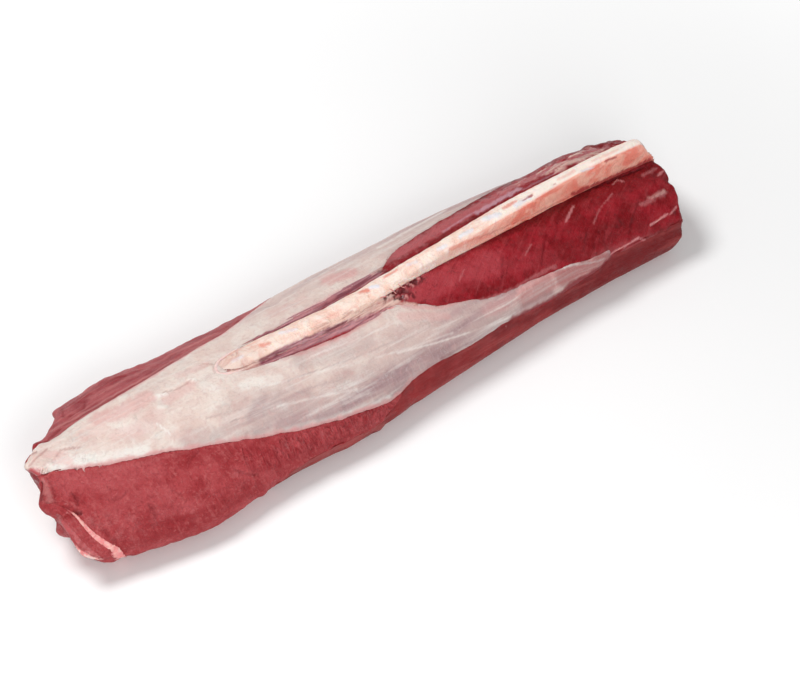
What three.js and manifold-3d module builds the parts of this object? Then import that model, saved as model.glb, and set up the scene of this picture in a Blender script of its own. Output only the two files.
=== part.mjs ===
// A bone-in saddle of red deer, lying with its back up.
// Millimetres, +Z up. +X points to the rib end and -X to the rump end. The near side is -Y.
// The backbone runs through the whole length. A loin lies along each side of it, a rump muscle wraps
// the outside of each loin at the rump end, and a flank layer forms the lower side from there on.
// One forked sheet of silverskin covers the loins. The underside has a shallow hollow where the bone
// shows, and the saddle rests on a flat strip along each side of that hollow.
import * as THREE from 'three';
import { mergeVertices } from 'three/addons/utils/BufferGeometryUtils.js';
import Module from 'manifold-3d';

const manifoldLibrary = await Module();
manifoldLibrary.setup();

// Lengths along X
const rumpEnd = -326;
const ribEnd = 368;
const stationStep = 16;
const boneStep = 12;
const vertebraLength = 36;
const forkAt = -132;
const flankStart = -138;
const rumpTip = 8;
const flankRise = -18;

// Clearance between pieces, and the silverskin
const gap = 0.3;
const skinThickness = 1.1;
const skinEdgeThickness = 0.6;

// Backbone section
const boneBodyHalfWidth = 19;
const boneBodyTop = 36;
const boneBodyBottom = 12;
const boneStemHalfWidth = 6.5;
const boneStemTop = 48;
const boneFoot = 2.5;
const boneFootShare = 0.7;
const boneScallop = 2;
const crestRounding = 2;
const crestDepth = 28;
const crestFlatShare = 0.5;
const crestWaistShare = 0.95;
const cutterOverrun = 30;
const cutterFoot = -8;

// Walls between the muscles, as distances out from the backbone's middle
const loinFootHalfWidth = 33;
const wallShoulder = 34;
const wallBend = 0.55;
const flankThickness = 9;
const flankFirstThickness = 3;
const flankGrowth = 40;
const sliver = 0.6;
const footReach = 0.97;
const footReachPower = 0.8;

// Least distances along the outer line, on which 1 is the widest place
const edgeStep = 0.003;
const leastRump = 0.02;

// Rounding of the two cut ends
const endRounding = 8;
const endRoundingDepth = 0.05;
const sectionCentreHeight = 34;

// How far the rump end steps back at the underside, at the tip and at the near lower corner
const rumpUndercut = 16;
const rumpUndercutTop = 80;
const rumpTipStep = 3;
const rumpTipOuts = [12, 42];
const rumpCornerStep = 22;
const rumpCornerOuts = [62, 100];
const rumpCornerHeights = [8, 48];
const rumpStepReach = 165;

// How far the rib end steps back at the crest, the shoulders, the sides and the underside
const ribCrestStep = 16;
const ribCrestHeights = [68, 96];
const ribShoulderStep = 6;
const ribShoulderOuts = [30, 62];
const ribSideStep = 8;
const ribSideOuts = [46, 90];
const ribFootStep = 8;
const ribFootTop = 30;
const ribStepReach = 85;
const stepFade = 1.5;

// The shallow hollow along the underside
const archRise = 9;
const archHalfWidth = 50;
const archDepth = 35;

// Sunken strips beside the bone, and the crease between the bone and the bare loin
const stripStart = [-115, -70];
const stripEnd = [30, 60];
const stripDepth = 3;
const creaseStart = [40, 90];
const creaseWidth = 9;
const creaseDepth = 2.5;

// The near rump's lower corner is a flap, parted from the rest by a seam of fat, with a fat rim outside
const seamTop = new THREE.Vector3(-309, -58, 61);
const seamFoot = new THREE.Vector3(-281, -94, 21);
const seamInside = new THREE.Vector3(-308, -44, 12);
const seamThicknessTop = 1.6;
const seamThicknessFoot = 6.5;
const flapThickness = 9;

// A little curl of tendon on the silverskin at the rump tip
const knobAt = -309;
const knobOut = 12;
const knobRadius = 3.2;
const knobFlatness = 0.7;

// Columns across one half of the back
const bareColumns = 5;
const skinColumns = 6;
const rumpColumns = 5;
const flankColumns = 5;
const wallColumns = 2;
const flatEdgeShares = [0.3, 0.7];

// A smooth curve through a few [x, value] pairs
function profile(pairs) {
  const places = pairs.map((pair) => pair[0]);
  const values = pairs.map((pair) => pair[1]);
  const curve = new THREE.CubicInterpolant(places, values, 1, [0]);
  return (x) => curve.evaluate(x)[0];
}

const lerp = THREE.MathUtils.lerp;
const clamp = THREE.MathUtils.clamp;
const smooth = THREE.MathUtils.smoothstep;

// Sideways drift of the ridge, and the crest of the backbone
const ridgeDrift = profile([
  [-326, 0], [-133, -1], [-50, -4.5], [-10, -5.5], [54, -1], [154, 0.5], [260, 3], [368, 3],
]);
const crestTop = profile([
  [-326, 58], [-170, 62], [-146, 71], [forkAt, 77.5], [-115, 79.5], [-40, 80.5], [53, 84], [104, 90],
  [156, 95], [200, 98], [320, 100], [368, 97.5],
]);
const crestHalfWidth = profile([
  [-326, 5], [-160, 4], [forkAt, 3.5], [-123, 8.5], [-100, 11], [0, 11.5], [53, 10], [104, 8.5],
  [192, 9], [262, 7], [368, 6.5],
]);

const near = {
  sign: -1,
  halfWidth: profile([
    [-326, 92], [-273, 101], [-237, 107], [-201, 110], [-165, 105], [-128, 99], [-40, 95], [5, 90],
    [44, 89], [124, 82], [165, 78], [368, 76],
  ]),
  top: profile([
    [-326, 75], [-240, 77.5], [forkAt, 78.5], [-40, 77.5], [50, 79], [104, 80], [156, 80], [265, 76.5],
    [368, 70],
  ]),
  widest: profile([[-326, 24], [-140, 24], [0, 22], [150, 22], [368, 24]]),
  squareness: profile([[-326, 1.75], [-140, 1.8], [0, 1.95], [60, 2.1], [150, 2.3], [368, 2.3]]),
  footInset: profile([[-326, 22], [-140, 20], [0, 16], [150, 15], [368, 16]]),
  skinUpper: profile([
    [-326, 6], [-160, 6], [forkAt, 5.4], [-124, 10.5], [-103, 15.6], [-48, 23], [20, 25.5], [46, 25],
    [62, 37], [104, 53], [165, 63], [264, 68],
  ]),
  skinLower: profile([
    [-326, 12], [-308, 16], [-269, 32.5], [-210, 51], [-149, 68.5], [-77, 82], [-5, 86], [26, 82],
    [93, 80.5], [135, 77], [227, 74], [264, 70.5],
  ]),
  skinEnd: 264,
};

const far = {
  sign: 1,
  halfWidth: profile([
    [-326, 76], [-270, 79], [-220, 84], [-140, 80], [-40, 84], [50, 81], [150, 77], [250, 68], [310, 67],
    [368, 64],
  ]),
  top: profile([
    [-326, 75], [-240, 77.5], [forkAt, 78.5], [-40, 77], [50, 77], [150, 77], [250, 80], [305, 79],
    [330, 71], [368, 67],
  ]),
  widest: profile([[-326, 24], [368, 24]]),
  squareness: profile([
    [-326, 1.65], [-228, 1.7], [-180, 1.55], [-75, 1.6], [0, 1.95], [50, 1.85], [150, 2.1], [260, 2],
    [310, 2.2], [368, 2.1],
  ]),
  footInset: profile([[-326, 22], [-140, 20], [0, 16], [150, 15], [368, 16]]),
  skinUpper: profile([
    [-326, 6], [-160, 6], [forkAt, 5.1], [-124, 8.8], [-95, 13.3], [-45, 20.7], [24, 23.2], [62, 23.5],
    [76, 33], [119, 41.5], [190, 50], [245, 58],
  ]),
  skinLower: profile([
    [-326, 12], [-296, 12.5], [-277, 17], [-223, 22], [-145, 35], [-95, 45], [-58, 60.5], [-25, 74],
    [40, 77], [150, 72], [245, 61],
  ]),
  skinEnd: 245,
};

// Height of the flank's upper edge below the rump muscle, the same on both sides
const flankHeight = profile([
  [flankStart, 6.5], [-130, 14], [-113, 23], [-66, 26], [flankRise, 24], [-6, 31], [rumpTip, 40],
]);

// How far the rump end steps back from its tip. The near lower corner and the whole far side are cut away.
const farEndStep = profile([[0, rumpTipStep], [12, 12], [25, 28], [40, 46], [60, 54], [95, 57]]);
function rumpStepBack(side, out, height) {
  const undercut = rumpUndercut * (1 - height / rumpUndercutTop) ** 2;
  if (side.sign > 0) {
    return undercut + farEndStep(out);
  }
  const tip = rumpTipStep * (1 - smooth(out, ...rumpTipOuts));
  const corner = smooth(out, ...rumpCornerOuts) * (1 - smooth(height, ...rumpCornerHeights));
  return undercut + tip + rumpCornerStep * corner;
}

// How far the rib end steps back from the loins' fullest place
function ribStepBack(out, height) {
  const crest = ribCrestStep * smooth(height, ...ribCrestHeights);
  const shoulder = ribShoulderStep * smooth(out, ...ribShoulderOuts);
  const side = ribSideStep * smooth(out, ...ribSideOuts);
  return crest + shoulder + side + ribFootStep * (1 - smooth(height, 0, ribFootTop));
}

// Puts a section point, given as its distance out and its height, in its place in space
function place(side, x, out, height) {
  const nearRumpEnd = clamp(1 - (x - rumpEnd) / rumpStepReach, 0, 1) ** stepFade;
  const nearRibEnd = clamp(1 - (ribEnd - x) / ribStepReach, 0, 1) ** stepFade;
  const shift = rumpStepBack(side, out, height) * nearRumpEnd - ribStepBack(out, height) * nearRibEnd;
  const depth = clamp(Math.min(x - rumpEnd, ribEnd - x) / endRounding, 0, 1);
  const shrink = 1 - endRoundingDepth * (1 - Math.sqrt(1 - (1 - depth) ** 2));
  const y = ridgeDrift(x) + side.sign * out * shrink;
  const arch = archRise * Math.max(1 - (out / archHalfWidth) ** 2, 0) * Math.max(1 - height / archDepth, 0);
  const z = sectionCentreHeight + (height + arch - sectionCentreHeight) * shrink;
  return new THREE.Vector3(x + shift, y, z);
}

// The outer line of a half section: 0 is the ridge, 1 the widest place and 2 the edge of the flat foot
function outerPoint(side, x, along) {
  const turn = (Math.min(along, 1) * Math.PI) / 2;
  const lowerTurn = (Math.max(along - 1, 0) * Math.PI) / 2;
  const power = 2 / side.squareness(x);
  const widest = side.widest(x);
  const out = side.halfWidth(x) * Math.sin(turn) ** power - side.footInset(x) * (1 - Math.cos(lowerTurn));
  if (along > 1) {
    return [out, widest * (1 - Math.sin(lowerTurn))];
  }
  return [out, widest + (side.top(x) - widest) * Math.cos(turn) ** power];
}

function alongAtOut(side, x, out) {
  const share = Math.min(out / side.halfWidth(x), 1);
  return (Math.asin(share ** (side.squareness(x) / 2)) * 2) / Math.PI;
}

function alongAtHeight(side, x, height) {
  const widest = side.widest(x);
  if (height < widest) {
    return 1 + (Math.asin(1 - height / widest) * 2) / Math.PI;
  }
  const share = (height - widest) / (side.top(x) - widest);
  return (Math.acos(share ** (side.squareness(x) / 2)) * 2) / Math.PI;
}

// Sunken strips of muscle along both sides of the bone, between it and the silverskin
function sunken(side, x, out) {
  const strip = smooth(x, ...stripStart) * (1 - smooth(x, ...stripEnd));
  const boneEdge = crestHalfWidth(x);
  const middle = (boneEdge + side.skinUpper(x)) / 2;
  const halfStrip = Math.max((side.skinUpper(x) - boneEdge) / 2, 1);
  const across = Math.max(1 - ((out - middle) / halfStrip) ** 2, 0);
  const crease = smooth(x, ...creaseStart) * Math.max(1 - (out - boneEdge) / creaseWidth, 0);
  return stripDepth * strip * across + creaseDepth * crease;
}

// The two edges of the silverskin and the top of the flank, as places along the outer line
function landmarks(side, x) {
  const skinUpper = alongAtOut(side, x, side.skinUpper(Math.min(x, side.skinEnd)));
  const skinLower = alongAtOut(side, x, side.skinLower(Math.min(x, side.skinEnd)));
  let flankTop = skinLower;
  if (x <= rumpTip) {
    const height = x < flankStart ? sliver : flankHeight(x);
    flankTop = Math.max(alongAtHeight(side, x, height), skinLower + leastRump);
  }
  const grown = lerp(flankFirstThickness, flankThickness, smooth(x, flankStart, flankStart + flankGrowth));
  const flankFoot = side.halfWidth(x) - side.footInset(x) - (x < flankStart ? sliver : grown);
  const reach = x > rumpTip ? 1 : footReach * smooth(x, rumpEnd - 40, rumpTip + 20) ** footReachPower;
  const loinFoot = lerp(loinFootHalfWidth, flankFoot, reach);
  return { skinUpper, skinLower, flankTop, flankFoot, loinFoot };
}

// Points of a wall between two muscles, from its top on the outer line to its foot on the underside
function wallPoints(side, x, alongTop, foot, sideShift) {
  const [topOut, topHeight] = outerPoint(side, x, alongTop);
  const curve = new THREE.QuadraticBezierCurve(
    new THREE.Vector2(topOut, topHeight),
    new THREE.Vector2(Math.max((topOut + foot) / 2, wallShoulder), topHeight * wallBend),
    new THREE.Vector2(foot, 0),
  );
  const points = curve.getPoints(wallColumns + 1);
  return points.map((point) => [point.x + sideShift, point.y]);
}

// The columns of the back from the ridge to the lower edge of the silverskin
function backColumns(side, x) {
  const marks = landmarks(side, x);
  const columns = [];
  for (let column = 0; column <= bareColumns + skinColumns; column += 1) {
    const onSkin = column - bareColumns;
    const along = onSkin < 0
      ? lerp(0, marks.skinUpper, column / bareColumns)
      : lerp(marks.skinUpper, marks.skinLower, onSkin / skinColumns);
    const [out, height] = outerPoint(side, x, along);
    columns.push([out, height - sunken(side, x, out)]);
  }
  return columns;
}

const rumpEndDepths = [0, 1.5, endRounding];
const ribEndDepths = [0, 2.5, endRounding];
const endKeys = [
  ...rumpEndDepths.map((depth) => rumpEnd + depth),
  ...ribEndDepths.map((depth) => ribEnd - depth),
];

function stationList(from, to, step, keys) {
  const count = Math.round((to - from) / step);
  const plain = Array.from({ length: count + 1 }, (_, index) => lerp(from, to, index / count));
  const kept = plain.filter((x) => keys.every((key) => Math.abs(key - x) > step * 0.4));
  return [...kept, ...keys.filter((key) => key >= from && key <= to)].sort((a, b) => a - b);
}

const keyStations = [
  ...endKeys, flankStart, forkAt, flankRise, rumpTip, rumpTip + 6, near.skinEnd, far.skinEnd,
];
const stations = stationList(rumpEnd, ribEnd, stationStep, keyStations);
const bonePlaces = stationList(rumpEnd, ribEnd, boneStep, endKeys);

// Each four-sided face is split from its higher first corner, so that facing walls get the same facets
function fallsAway(first, second) {
  return first.z >= second.z;
}

// A closed body from rings of equally many points, with flat-triangulated ends
function loft(rings) {
  const size = rings[0].length;
  const vertices = rings.flat();
  const triangles = [];
  for (let ring = 0; ring + 1 < rings.length; ring += 1) {
    for (let corner = 0; corner < size; corner += 1) {
      const next = (corner + 1) % size;
      const [a, b] = [ring * size + corner, ring * size + next];
      if (fallsAway(vertices[a], vertices[b])) {
        triangles.push([a, b, b + size], [a, b + size, a + size]);
      } else {
        triangles.push([a, b, a + size], [b, b + size, a + size]);
      }
    }
  }
  const cap = (ring, flip) => {
    const outline = ring.map((point) => new THREE.Vector2(point.y, point.z));
    const faces = THREE.ShapeUtils.triangulateShape(outline, []);
    return faces.map((face) => (flip ? [face[0], face[2], face[1]] : face));
  };
  const firstOutline = rings[0].map((point) => new THREE.Vector2(point.y, point.z));
  const clockwise = THREE.ShapeUtils.isClockWise(firstOutline);
  const lastRing = (rings.length - 1) * size;
  triangles.push(...cap(rings[0], !clockwise));
  triangles.push(...cap(rings.at(-1), clockwise).map((face) => face.map((corner) => corner + lastRing)));
  return closedGeometry(vertices, triangles);
}

// Builds the geometry and turns its faces out
function closedGeometry(vertices, triangles) {
  let volume = 0;
  for (const [a, b, c] of triangles) {
    volume += vertices[a].dot(new THREE.Vector3().crossVectors(vertices[b], vertices[c]));
  }
  const faces = volume < 0 ? triangles.map(([a, b, c]) => [a, c, b]) : triangles;
  const geometry = new THREE.BufferGeometry().setFromPoints(vertices);
  geometry.setIndex(faces.flat());
  geometry.computeVertexNormals();
  return geometry;
}

function toManifold(geometry) {
  const bare = geometry.clone();
  bare.deleteAttribute('normal');
  bare.deleteAttribute('uv');
  const merged = mergeVertices(bare);
  return new manifoldLibrary.Manifold(new manifoldLibrary.Mesh({
    numProp: 3,
    vertProperties: merged.attributes.position.array,
    triVerts: Uint32Array.from(merged.index.array),
  }));
}

function fromManifold(solid) {
  const mesh = solid.getMesh();
  const geometry = new THREE.BufferGeometry();
  geometry.setAttribute('position', new THREE.BufferAttribute(Float32Array.from(mesh.vertProperties), 3));
  geometry.setIndex(new THREE.BufferAttribute(Uint32Array.from(mesh.triVerts), 1));
  geometry.computeVertexNormals();
  return geometry;
}

// The backbone's section. The same section, grown by a clearance, cuts its channel into the muscles.
function boneRing(x, clearance, foot, scallop) {
  const top = crestTop(x) + clearance;
  const crest = crestHalfWidth(x) + clearance;
  const stem = Math.min(boneStemHalfWidth, crestHalfWidth(x)) + clearance;
  const waist = 0.5 - 0.5 * Math.cos((2 * Math.PI * x) / vertebraLength);
  const body = boneBodyHalfWidth + clearance - scallop * waist;
  const half = [
    [crest * crestFlatShare, top],
    [crest, top - crestRounding],
    [crest * crestWaistShare, Math.max(top - crestDepth, boneStemTop + crestRounding * 3)],
    [stem, boneStemTop],
    [body, boneBodyTop + clearance],
    [body, boneBodyBottom],
    [body * boneFootShare, foot],
  ];
  const farHalf = half.map(([out, height]) => place(far, x, out, height));
  const nearHalf = half.map(([out, height]) => place(near, x, out, height));
  return [...farHalf, ...nearHalf.reverse()];
}

function backbone() {
  return loft(bonePlaces.map((x) => boneRing(x, 0, boneFoot, boneScallop)));
}

function boneCutter() {
  const places = [rumpEnd - cutterOverrun, ...bonePlaces, ribEnd + cutterOverrun];
  return toManifold(loft(places.map((x) => boneRing(x, gap, cutterFoot, 0))));
}

function loin(side) {
  const rings = stations.map((x) => {
    const marks = landmarks(side, x);
    const back = backColumns(side, x);
    back[0][0] = gap / 2;
    const wall = wallPoints(side, x, marks.skinLower, marks.loinFoot, -gap / 2).slice(1);
    return [...back, ...wall, [gap / 2, 0]].map(([out, height]) => place(side, x, out, height));
  });
  return loft(rings);
}

function rump(side) {
  const places = stations.filter((x) => x <= rumpTip);
  const rings = places.map((x) => {
    const marks = landmarks(side, x);
    const start = marks.skinLower + edgeStep;
    const outer = [];
    for (let column = 0; column <= rumpColumns; column += 1) {
      outer.push(outerPoint(side, x, lerp(start, marks.flankTop, column / rumpColumns)));
    }
    outer[0][0] += gap / 2;
    const outerWall = wallPoints(side, x, marks.flankTop, marks.flankFoot, -gap / 2).slice(1);
    const innerWall = wallPoints(side, x, marks.skinLower, marks.loinFoot, gap / 2).slice(1).reverse();
    const flatShare = (archHalfWidth - marks.loinFoot) / (marks.flankFoot - marks.loinFoot);
    const flatEdge = lerp(marks.loinFoot, marks.flankFoot, clamp(flatShare, ...flatEdgeShares));
    const ring = [...outer, ...outerWall, [flatEdge, 0], ...innerWall];
    return ring.map(([out, height]) => place(side, x, out, height));
  });
  return loft(rings);
}

function flank(side) {
  const places = stations.filter((x) => x >= flankStart);
  const rings = places.map((x) => {
    const marks = landmarks(side, x);
    const outer = [];
    for (let column = 0; column <= flankColumns; column += 1) {
      outer.push(outerPoint(side, x, lerp(marks.flankTop + edgeStep, 2, column / flankColumns)));
    }
    outer[0][0] += gap / 2;
    const wall = wallPoints(side, x, marks.flankTop, marks.flankFoot, gap / 2).slice(1).reverse();
    return [...outer, ...wall].map(([out, height]) => place(side, x, out, height));
  });
  return loft(rings);
}

// The silverskin follows the same columns as the loins below it, so that its facets match theirs
function silverskin() {
  const lines = stations.map((x) => {
    const farLine = backColumns(far, x).map(([out, height]) => place(far, x, out, height));
    const nearLine = backColumns(near, x).map(([out, height]) => place(near, x, out, height));
    const ridge = farLine[0].clone().add(nearLine[0]).multiplyScalar(0.5);
    return [...farLine.slice(1).reverse(), ridge, ...nearLine.slice(1)];
  });
  const middle = bareColumns + skinColumns;
  const covered = (station, column) => {
    if (station < 0 || station + 1 >= stations.length || column < 0 || column >= 2 * middle) {
      return false;
    }
    const side = column < middle ? far : near;
    const overBare = Math.abs(column + 0.5 - middle) < bareColumns;
    const limit = overBare ? forkAt : side.skinEnd;
    return stations[station] > rumpEnd + 1 && stations[station + 1] <= limit + 0.01;
  };
  return sheet(lines, covered);
}

// A sheet over the covered cells of a grid of points, lifted off the grid by the gap
function sheet(lines, covered) {
  const vertices = [];
  const triangles = [];
  const lookUp = new Map();
  const clampIndex = (value, list) => clamp(value, 0, list.length - 1);
  const cornerIndex = (station, column, layer) => {
    const key = `${station},${column},${layer}`;
    if (!lookUp.has(key)) {
      const line = lines[station];
      const acrossStep = line[clampIndex(column + 1, line)].clone().sub(line[clampIndex(column - 1, line)]);
      const nextLine = lines[clampIndex(station + 1, lines)];
      const lastLine = lines[clampIndex(station - 1, lines)];
      const alongStep = nextLine[column].clone().sub(lastLine[column]);
      const normal = alongStep.cross(acrossStep).normalize();
      normal.multiplyScalar(normal.z < 0 ? -1 : 1);
      const around = [[-1, -1], [-1, 0], [0, -1], [0, 0]];
      const inside = around.every(([i, j]) => covered(station + i, column + j));
      const thickness = inside ? skinThickness : skinEdgeThickness;
      const lift = layer === 0 ? gap : gap + thickness;
      lookUp.set(key, vertices.length);
      vertices.push(line[column].clone().addScaledVector(normal, lift));
    }
    return lookUp.get(key);
  };
  const quad = (a, b, c, d) => triangles.push([a, b, c], [a, c, d]);
  for (let station = 0; station + 1 < lines.length; station += 1) {
    for (let column = 0; column + 1 < lines[0].length; column += 1) {
      if (covered(station, column)) {
        const corner = (i, j, layer) => cornerIndex(station + i, column + j, layer);
        const places = [[0, 0], [0, 1], [1, 1], [1, 0]];
        const square = (layer) => places.map(([i, j]) => corner(i, j, layer));
        const top = square(1);
        const under = square(0);
        if (fallsAway(lines[station][column], lines[station][column + 1])) {
          quad(...top);
          quad(under[0], under[3], under[2], under[1]);
        } else {
          quad(top[1], top[2], top[3], top[0]);
          quad(under[1], under[0], under[3], under[2]);
        }
        if (!covered(station - 1, column)) {
          quad(corner(0, 0, 0), corner(0, 1, 0), corner(0, 1, 1), corner(0, 0, 1));
        }
        if (!covered(station + 1, column)) {
          quad(corner(1, 1, 0), corner(1, 0, 0), corner(1, 0, 1), corner(1, 1, 1));
        }
        if (!covered(station, column - 1)) {
          quad(corner(1, 0, 0), corner(0, 0, 0), corner(0, 0, 1), corner(1, 0, 1));
        }
        if (!covered(station, column + 1)) {
          quad(corner(0, 1, 0), corner(1, 1, 0), corner(1, 1, 1), corner(0, 1, 1));
        }
      }
    }
  }
  return closedGeometry(vertices, triangles);
}

// A plane that cuts off the near rump's lower corner, facing that corner
function cornerPlane(points) {
  const plane = new THREE.Plane().setFromCoplanarPoints(...points);
  const corner = new THREE.Vector3(rumpEnd - 40, -140, 0);
  return plane.distanceToPoint(corner) < 0 ? plane.negate() : plane;
}

function keepOutside(solid, plane, clearance) {
  return solid.trimByPlane(plane.normal.toArray(), -plane.constant + clearance);
}

function keepInside(solid, plane) {
  return solid.trimByPlane(plane.normal.clone().negate().toArray(), plane.constant);
}

// A cut can leave a flake behind on the hollow side of the end, and only the main body is kept
function mainBody(solid) {
  return solid.decompose().reduce((best, body) => (body.volume() > best.volume() ? body : best));
}

function cornerPieces(solid) {
  const shifted = (point, distance) => point.clone().add(new THREE.Vector3(-distance, 0, 0));
  const seamPlane = cornerPlane([seamTop, seamFoot, seamInside]);
  const flapPlane = cornerPlane([
    shifted(seamTop, seamThicknessTop),
    shifted(seamFoot, seamThicknessFoot),
    shifted(seamInside, seamThicknessTop),
  ]);
  const rimPlane = flapPlane.clone();
  rimPlane.constant -= flapThickness;
  const corner = keepOutside(solid, seamPlane, gap);
  const flapAndRim = keepOutside(corner, flapPlane, gap);
  return {
    main: mainBody(keepInside(solid, seamPlane)),
    seam: mainBody(keepInside(corner, flapPlane)),
    flap: mainBody(keepInside(flapAndRim, rimPlane)),
    rim: mainBody(keepOutside(flapAndRim, rimPlane, gap)),
  };
}

function tendonKnob() {
  const geometry = new THREE.SphereGeometry(knobRadius, 12, 8);
  geometry.scale(1, 1, knobFlatness);
  const [out, height] = outerPoint(near, knobAt, alongAtOut(near, knobAt, knobOut));
  const seat = place(near, knobAt, out, height);
  geometry.translate(seat.x, seat.y, seat.z + knobRadius * knobFlatness + skinThickness + 3 * gap);
  return geometry;
}

const looks = {
  muscle: new THREE.MeshStandardMaterial({ color: 0x8e2028, roughness: 0.45, metalness: 0 }),
  rumpMuscle: new THREE.MeshStandardMaterial({ color: 0xa13c42, roughness: 0.6, metalness: 0 }),
  flankMuscle: new THREE.MeshStandardMaterial({ color: 0x8a322c, roughness: 0.5, metalness: 0 }),
  silverskin: new THREE.MeshStandardMaterial({ color: 0xd9c8c2, roughness: 0.4, metalness: 0 }),
  bone: new THREE.MeshStandardMaterial({ color: 0xe9cdb4, roughness: 0.6, metalness: 0 }),
  fat: new THREE.MeshStandardMaterial({ color: 0xefc7bd, roughness: 0.5, metalness: 0 }),
};

function piece(name, geometry, material) {
  const mesh = new THREE.Mesh(geometry, material);
  mesh.name = name;
  return mesh;
}

const cutter = boneCutter();
const cutByBone = (geometry) => toManifold(geometry).subtract(cutter);
const nearRump = cornerPieces(cutByBone(rump(near)));

const saddle = new THREE.Group();
saddle.add(
  piece('backbone', backbone(), looks.bone),
  piece('loin_near', fromManifold(cutByBone(loin(near))), looks.muscle),
  piece('loin_far', fromManifold(cutByBone(loin(far))), looks.muscle),
  piece('rump_near', fromManifold(nearRump.main), looks.rumpMuscle),
  piece('rump_far', fromManifold(cutByBone(rump(far))), looks.rumpMuscle),
  piece('rump_flap', fromManifold(nearRump.flap), looks.rumpMuscle),
  piece('fat_seam', fromManifold(nearRump.seam), looks.fat),
  piece('fat_rim', fromManifold(nearRump.rim), looks.fat),
  piece('flank_near', flank(near), looks.flankMuscle),
  piece('flank_far', flank(far), looks.flankMuscle),
  piece('silverskin', silverskin(), looks.silverskin),
  piece('tendon_knob', tendonKnob(), looks.fat),
);

// The origin is under the middle of the saddle's bounding box
const box = new THREE.Box3().setFromObject(saddle);
const centre = box.getCenter(new THREE.Vector3());
saddle.position.set(-centre.x, -centre.y, -box.min.z);
saddle.updateMatrixWorld(true);

export default saddle;
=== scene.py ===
import math
from types import SimpleNamespace

import bmesh
import bpy
import numpy as np
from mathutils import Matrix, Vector, noise
from mathutils.bvhtree import BVHTree
from mathutils.kdtree import KDTree


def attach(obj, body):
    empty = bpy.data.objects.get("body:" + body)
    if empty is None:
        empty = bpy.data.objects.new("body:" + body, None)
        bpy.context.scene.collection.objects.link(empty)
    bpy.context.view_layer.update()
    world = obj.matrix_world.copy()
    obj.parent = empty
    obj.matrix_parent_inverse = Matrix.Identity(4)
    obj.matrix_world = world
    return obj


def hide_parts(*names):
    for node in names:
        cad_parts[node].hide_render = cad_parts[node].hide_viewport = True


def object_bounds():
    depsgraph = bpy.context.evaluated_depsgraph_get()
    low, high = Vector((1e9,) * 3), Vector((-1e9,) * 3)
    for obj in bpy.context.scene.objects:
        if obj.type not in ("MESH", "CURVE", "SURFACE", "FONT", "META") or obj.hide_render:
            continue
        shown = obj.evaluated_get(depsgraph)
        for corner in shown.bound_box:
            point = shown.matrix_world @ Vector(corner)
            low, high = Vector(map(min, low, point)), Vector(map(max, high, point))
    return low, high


# A raw saddle of red deer on the bone. Every piece is a finer copy of its solid, laid on one smooth
# outer form that all of them share, with its own relief, painted masks and wet surface.
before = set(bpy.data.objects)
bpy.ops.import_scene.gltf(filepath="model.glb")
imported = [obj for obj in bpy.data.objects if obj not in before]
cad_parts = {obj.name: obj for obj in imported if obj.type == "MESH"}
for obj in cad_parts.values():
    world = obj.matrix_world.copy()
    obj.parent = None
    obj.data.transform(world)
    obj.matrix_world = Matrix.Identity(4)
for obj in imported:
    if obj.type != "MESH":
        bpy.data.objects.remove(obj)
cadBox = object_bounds()
mm = 0.001

photo = {
    "size": (800.0, 699.0),
    "ridgeStart": (30.0, 462.0),
    "ridgeEnd": (660.0, 205.0),
    "azimuth": -34.0,
    "elevation": 50.0,
    "distance": 1.9,
    "lens": 93.2,
    "farthest": 20.0,
    "sensor": 36.0,
    "aim": (0.00514, -0.04648, 0.05722),
}


def smooth(value, low, high):
    share = np.clip((value - low) / (high - low), 0.0, 1.0)
    return share * share * (3.0 - 2.0 * share)


def vertexValues(mesh, what):
    values = np.empty(len(mesh.vertices) * 3, dtype=np.float32)
    mesh.vertices.foreach_get(what, values)
    return values.reshape(-1, 3).astype(float)


def pointsOf(mesh):
    return vertexValues(mesh, "co")


def normalsOf(mesh):
    return vertexValues(mesh, "normal")


def movePoints(mesh, points):
    mesh.vertices.foreach_set("co", points.astype(np.float32).ravel())
    mesh.update()


def storeMask(mesh, name, values):
    layer = mesh.attributes.new(name, "FLOAT", "POINT")
    layer.data.foreach_set("value", np.clip(values, 0.0, 1.0).astype(np.float32))


def dots(first, second):
    return (first * second).sum(axis=1)


# Soft noise of a given grain size. The seed shifts it, so that two clouds differ.
def cloud(points, size, seed=0.0):
    cells = (points / size + seed).tolist()
    return np.array([noise.noise(cell) for cell in cells])


# A sum of clouds, each with its size, seed and amount
def clouds(points, layers):
    return sum(amount * cloud(points, size, seed) for size, seed, amount in layers)


def newObject(name, data):
    added = bpy.data.objects.new(name, data)
    bpy.context.collection.objects.link(added)
    return added


def pieceFrom(model, name):
    mesh = bpy.data.meshes.new(name)
    model.to_mesh(mesh)
    model.free()
    return newObject(name, mesh)


def modify(piece, kind, **settings):
    modifier = piece.modifiers.new(kind.lower(), kind)
    for name, value in settings.items():
        setattr(modifier, name, value)


def bakeModifiers(piece):
    graph = bpy.context.evaluated_depsgraph_get()
    mesh = bpy.data.meshes.new_from_object(piece.evaluated_get(graph))
    piece.modifiers.clear()
    piece.data = mesh


def push(piece, distance):
    modify(piece, "DISPLACE", strength=distance, mid_level=0.0)


# A copy of some nodes, swollen a little and made anew from even small faces
def fineCopy(nodes, name, swell, voxel):
    model = bmesh.new()
    for node in nodes:
        model.from_mesh(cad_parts[node].data)
    bmesh.ops.remove_doubles(model, verts=model.verts, dist=0.01 * mm)
    piece = pieceFrom(model, name)
    push(piece, swell)
    modify(piece, "REMESH", mode="VOXEL", voxel_size=voxel, use_smooth_shade=True)
    bakeModifiers(piece)
    return piece


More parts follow.
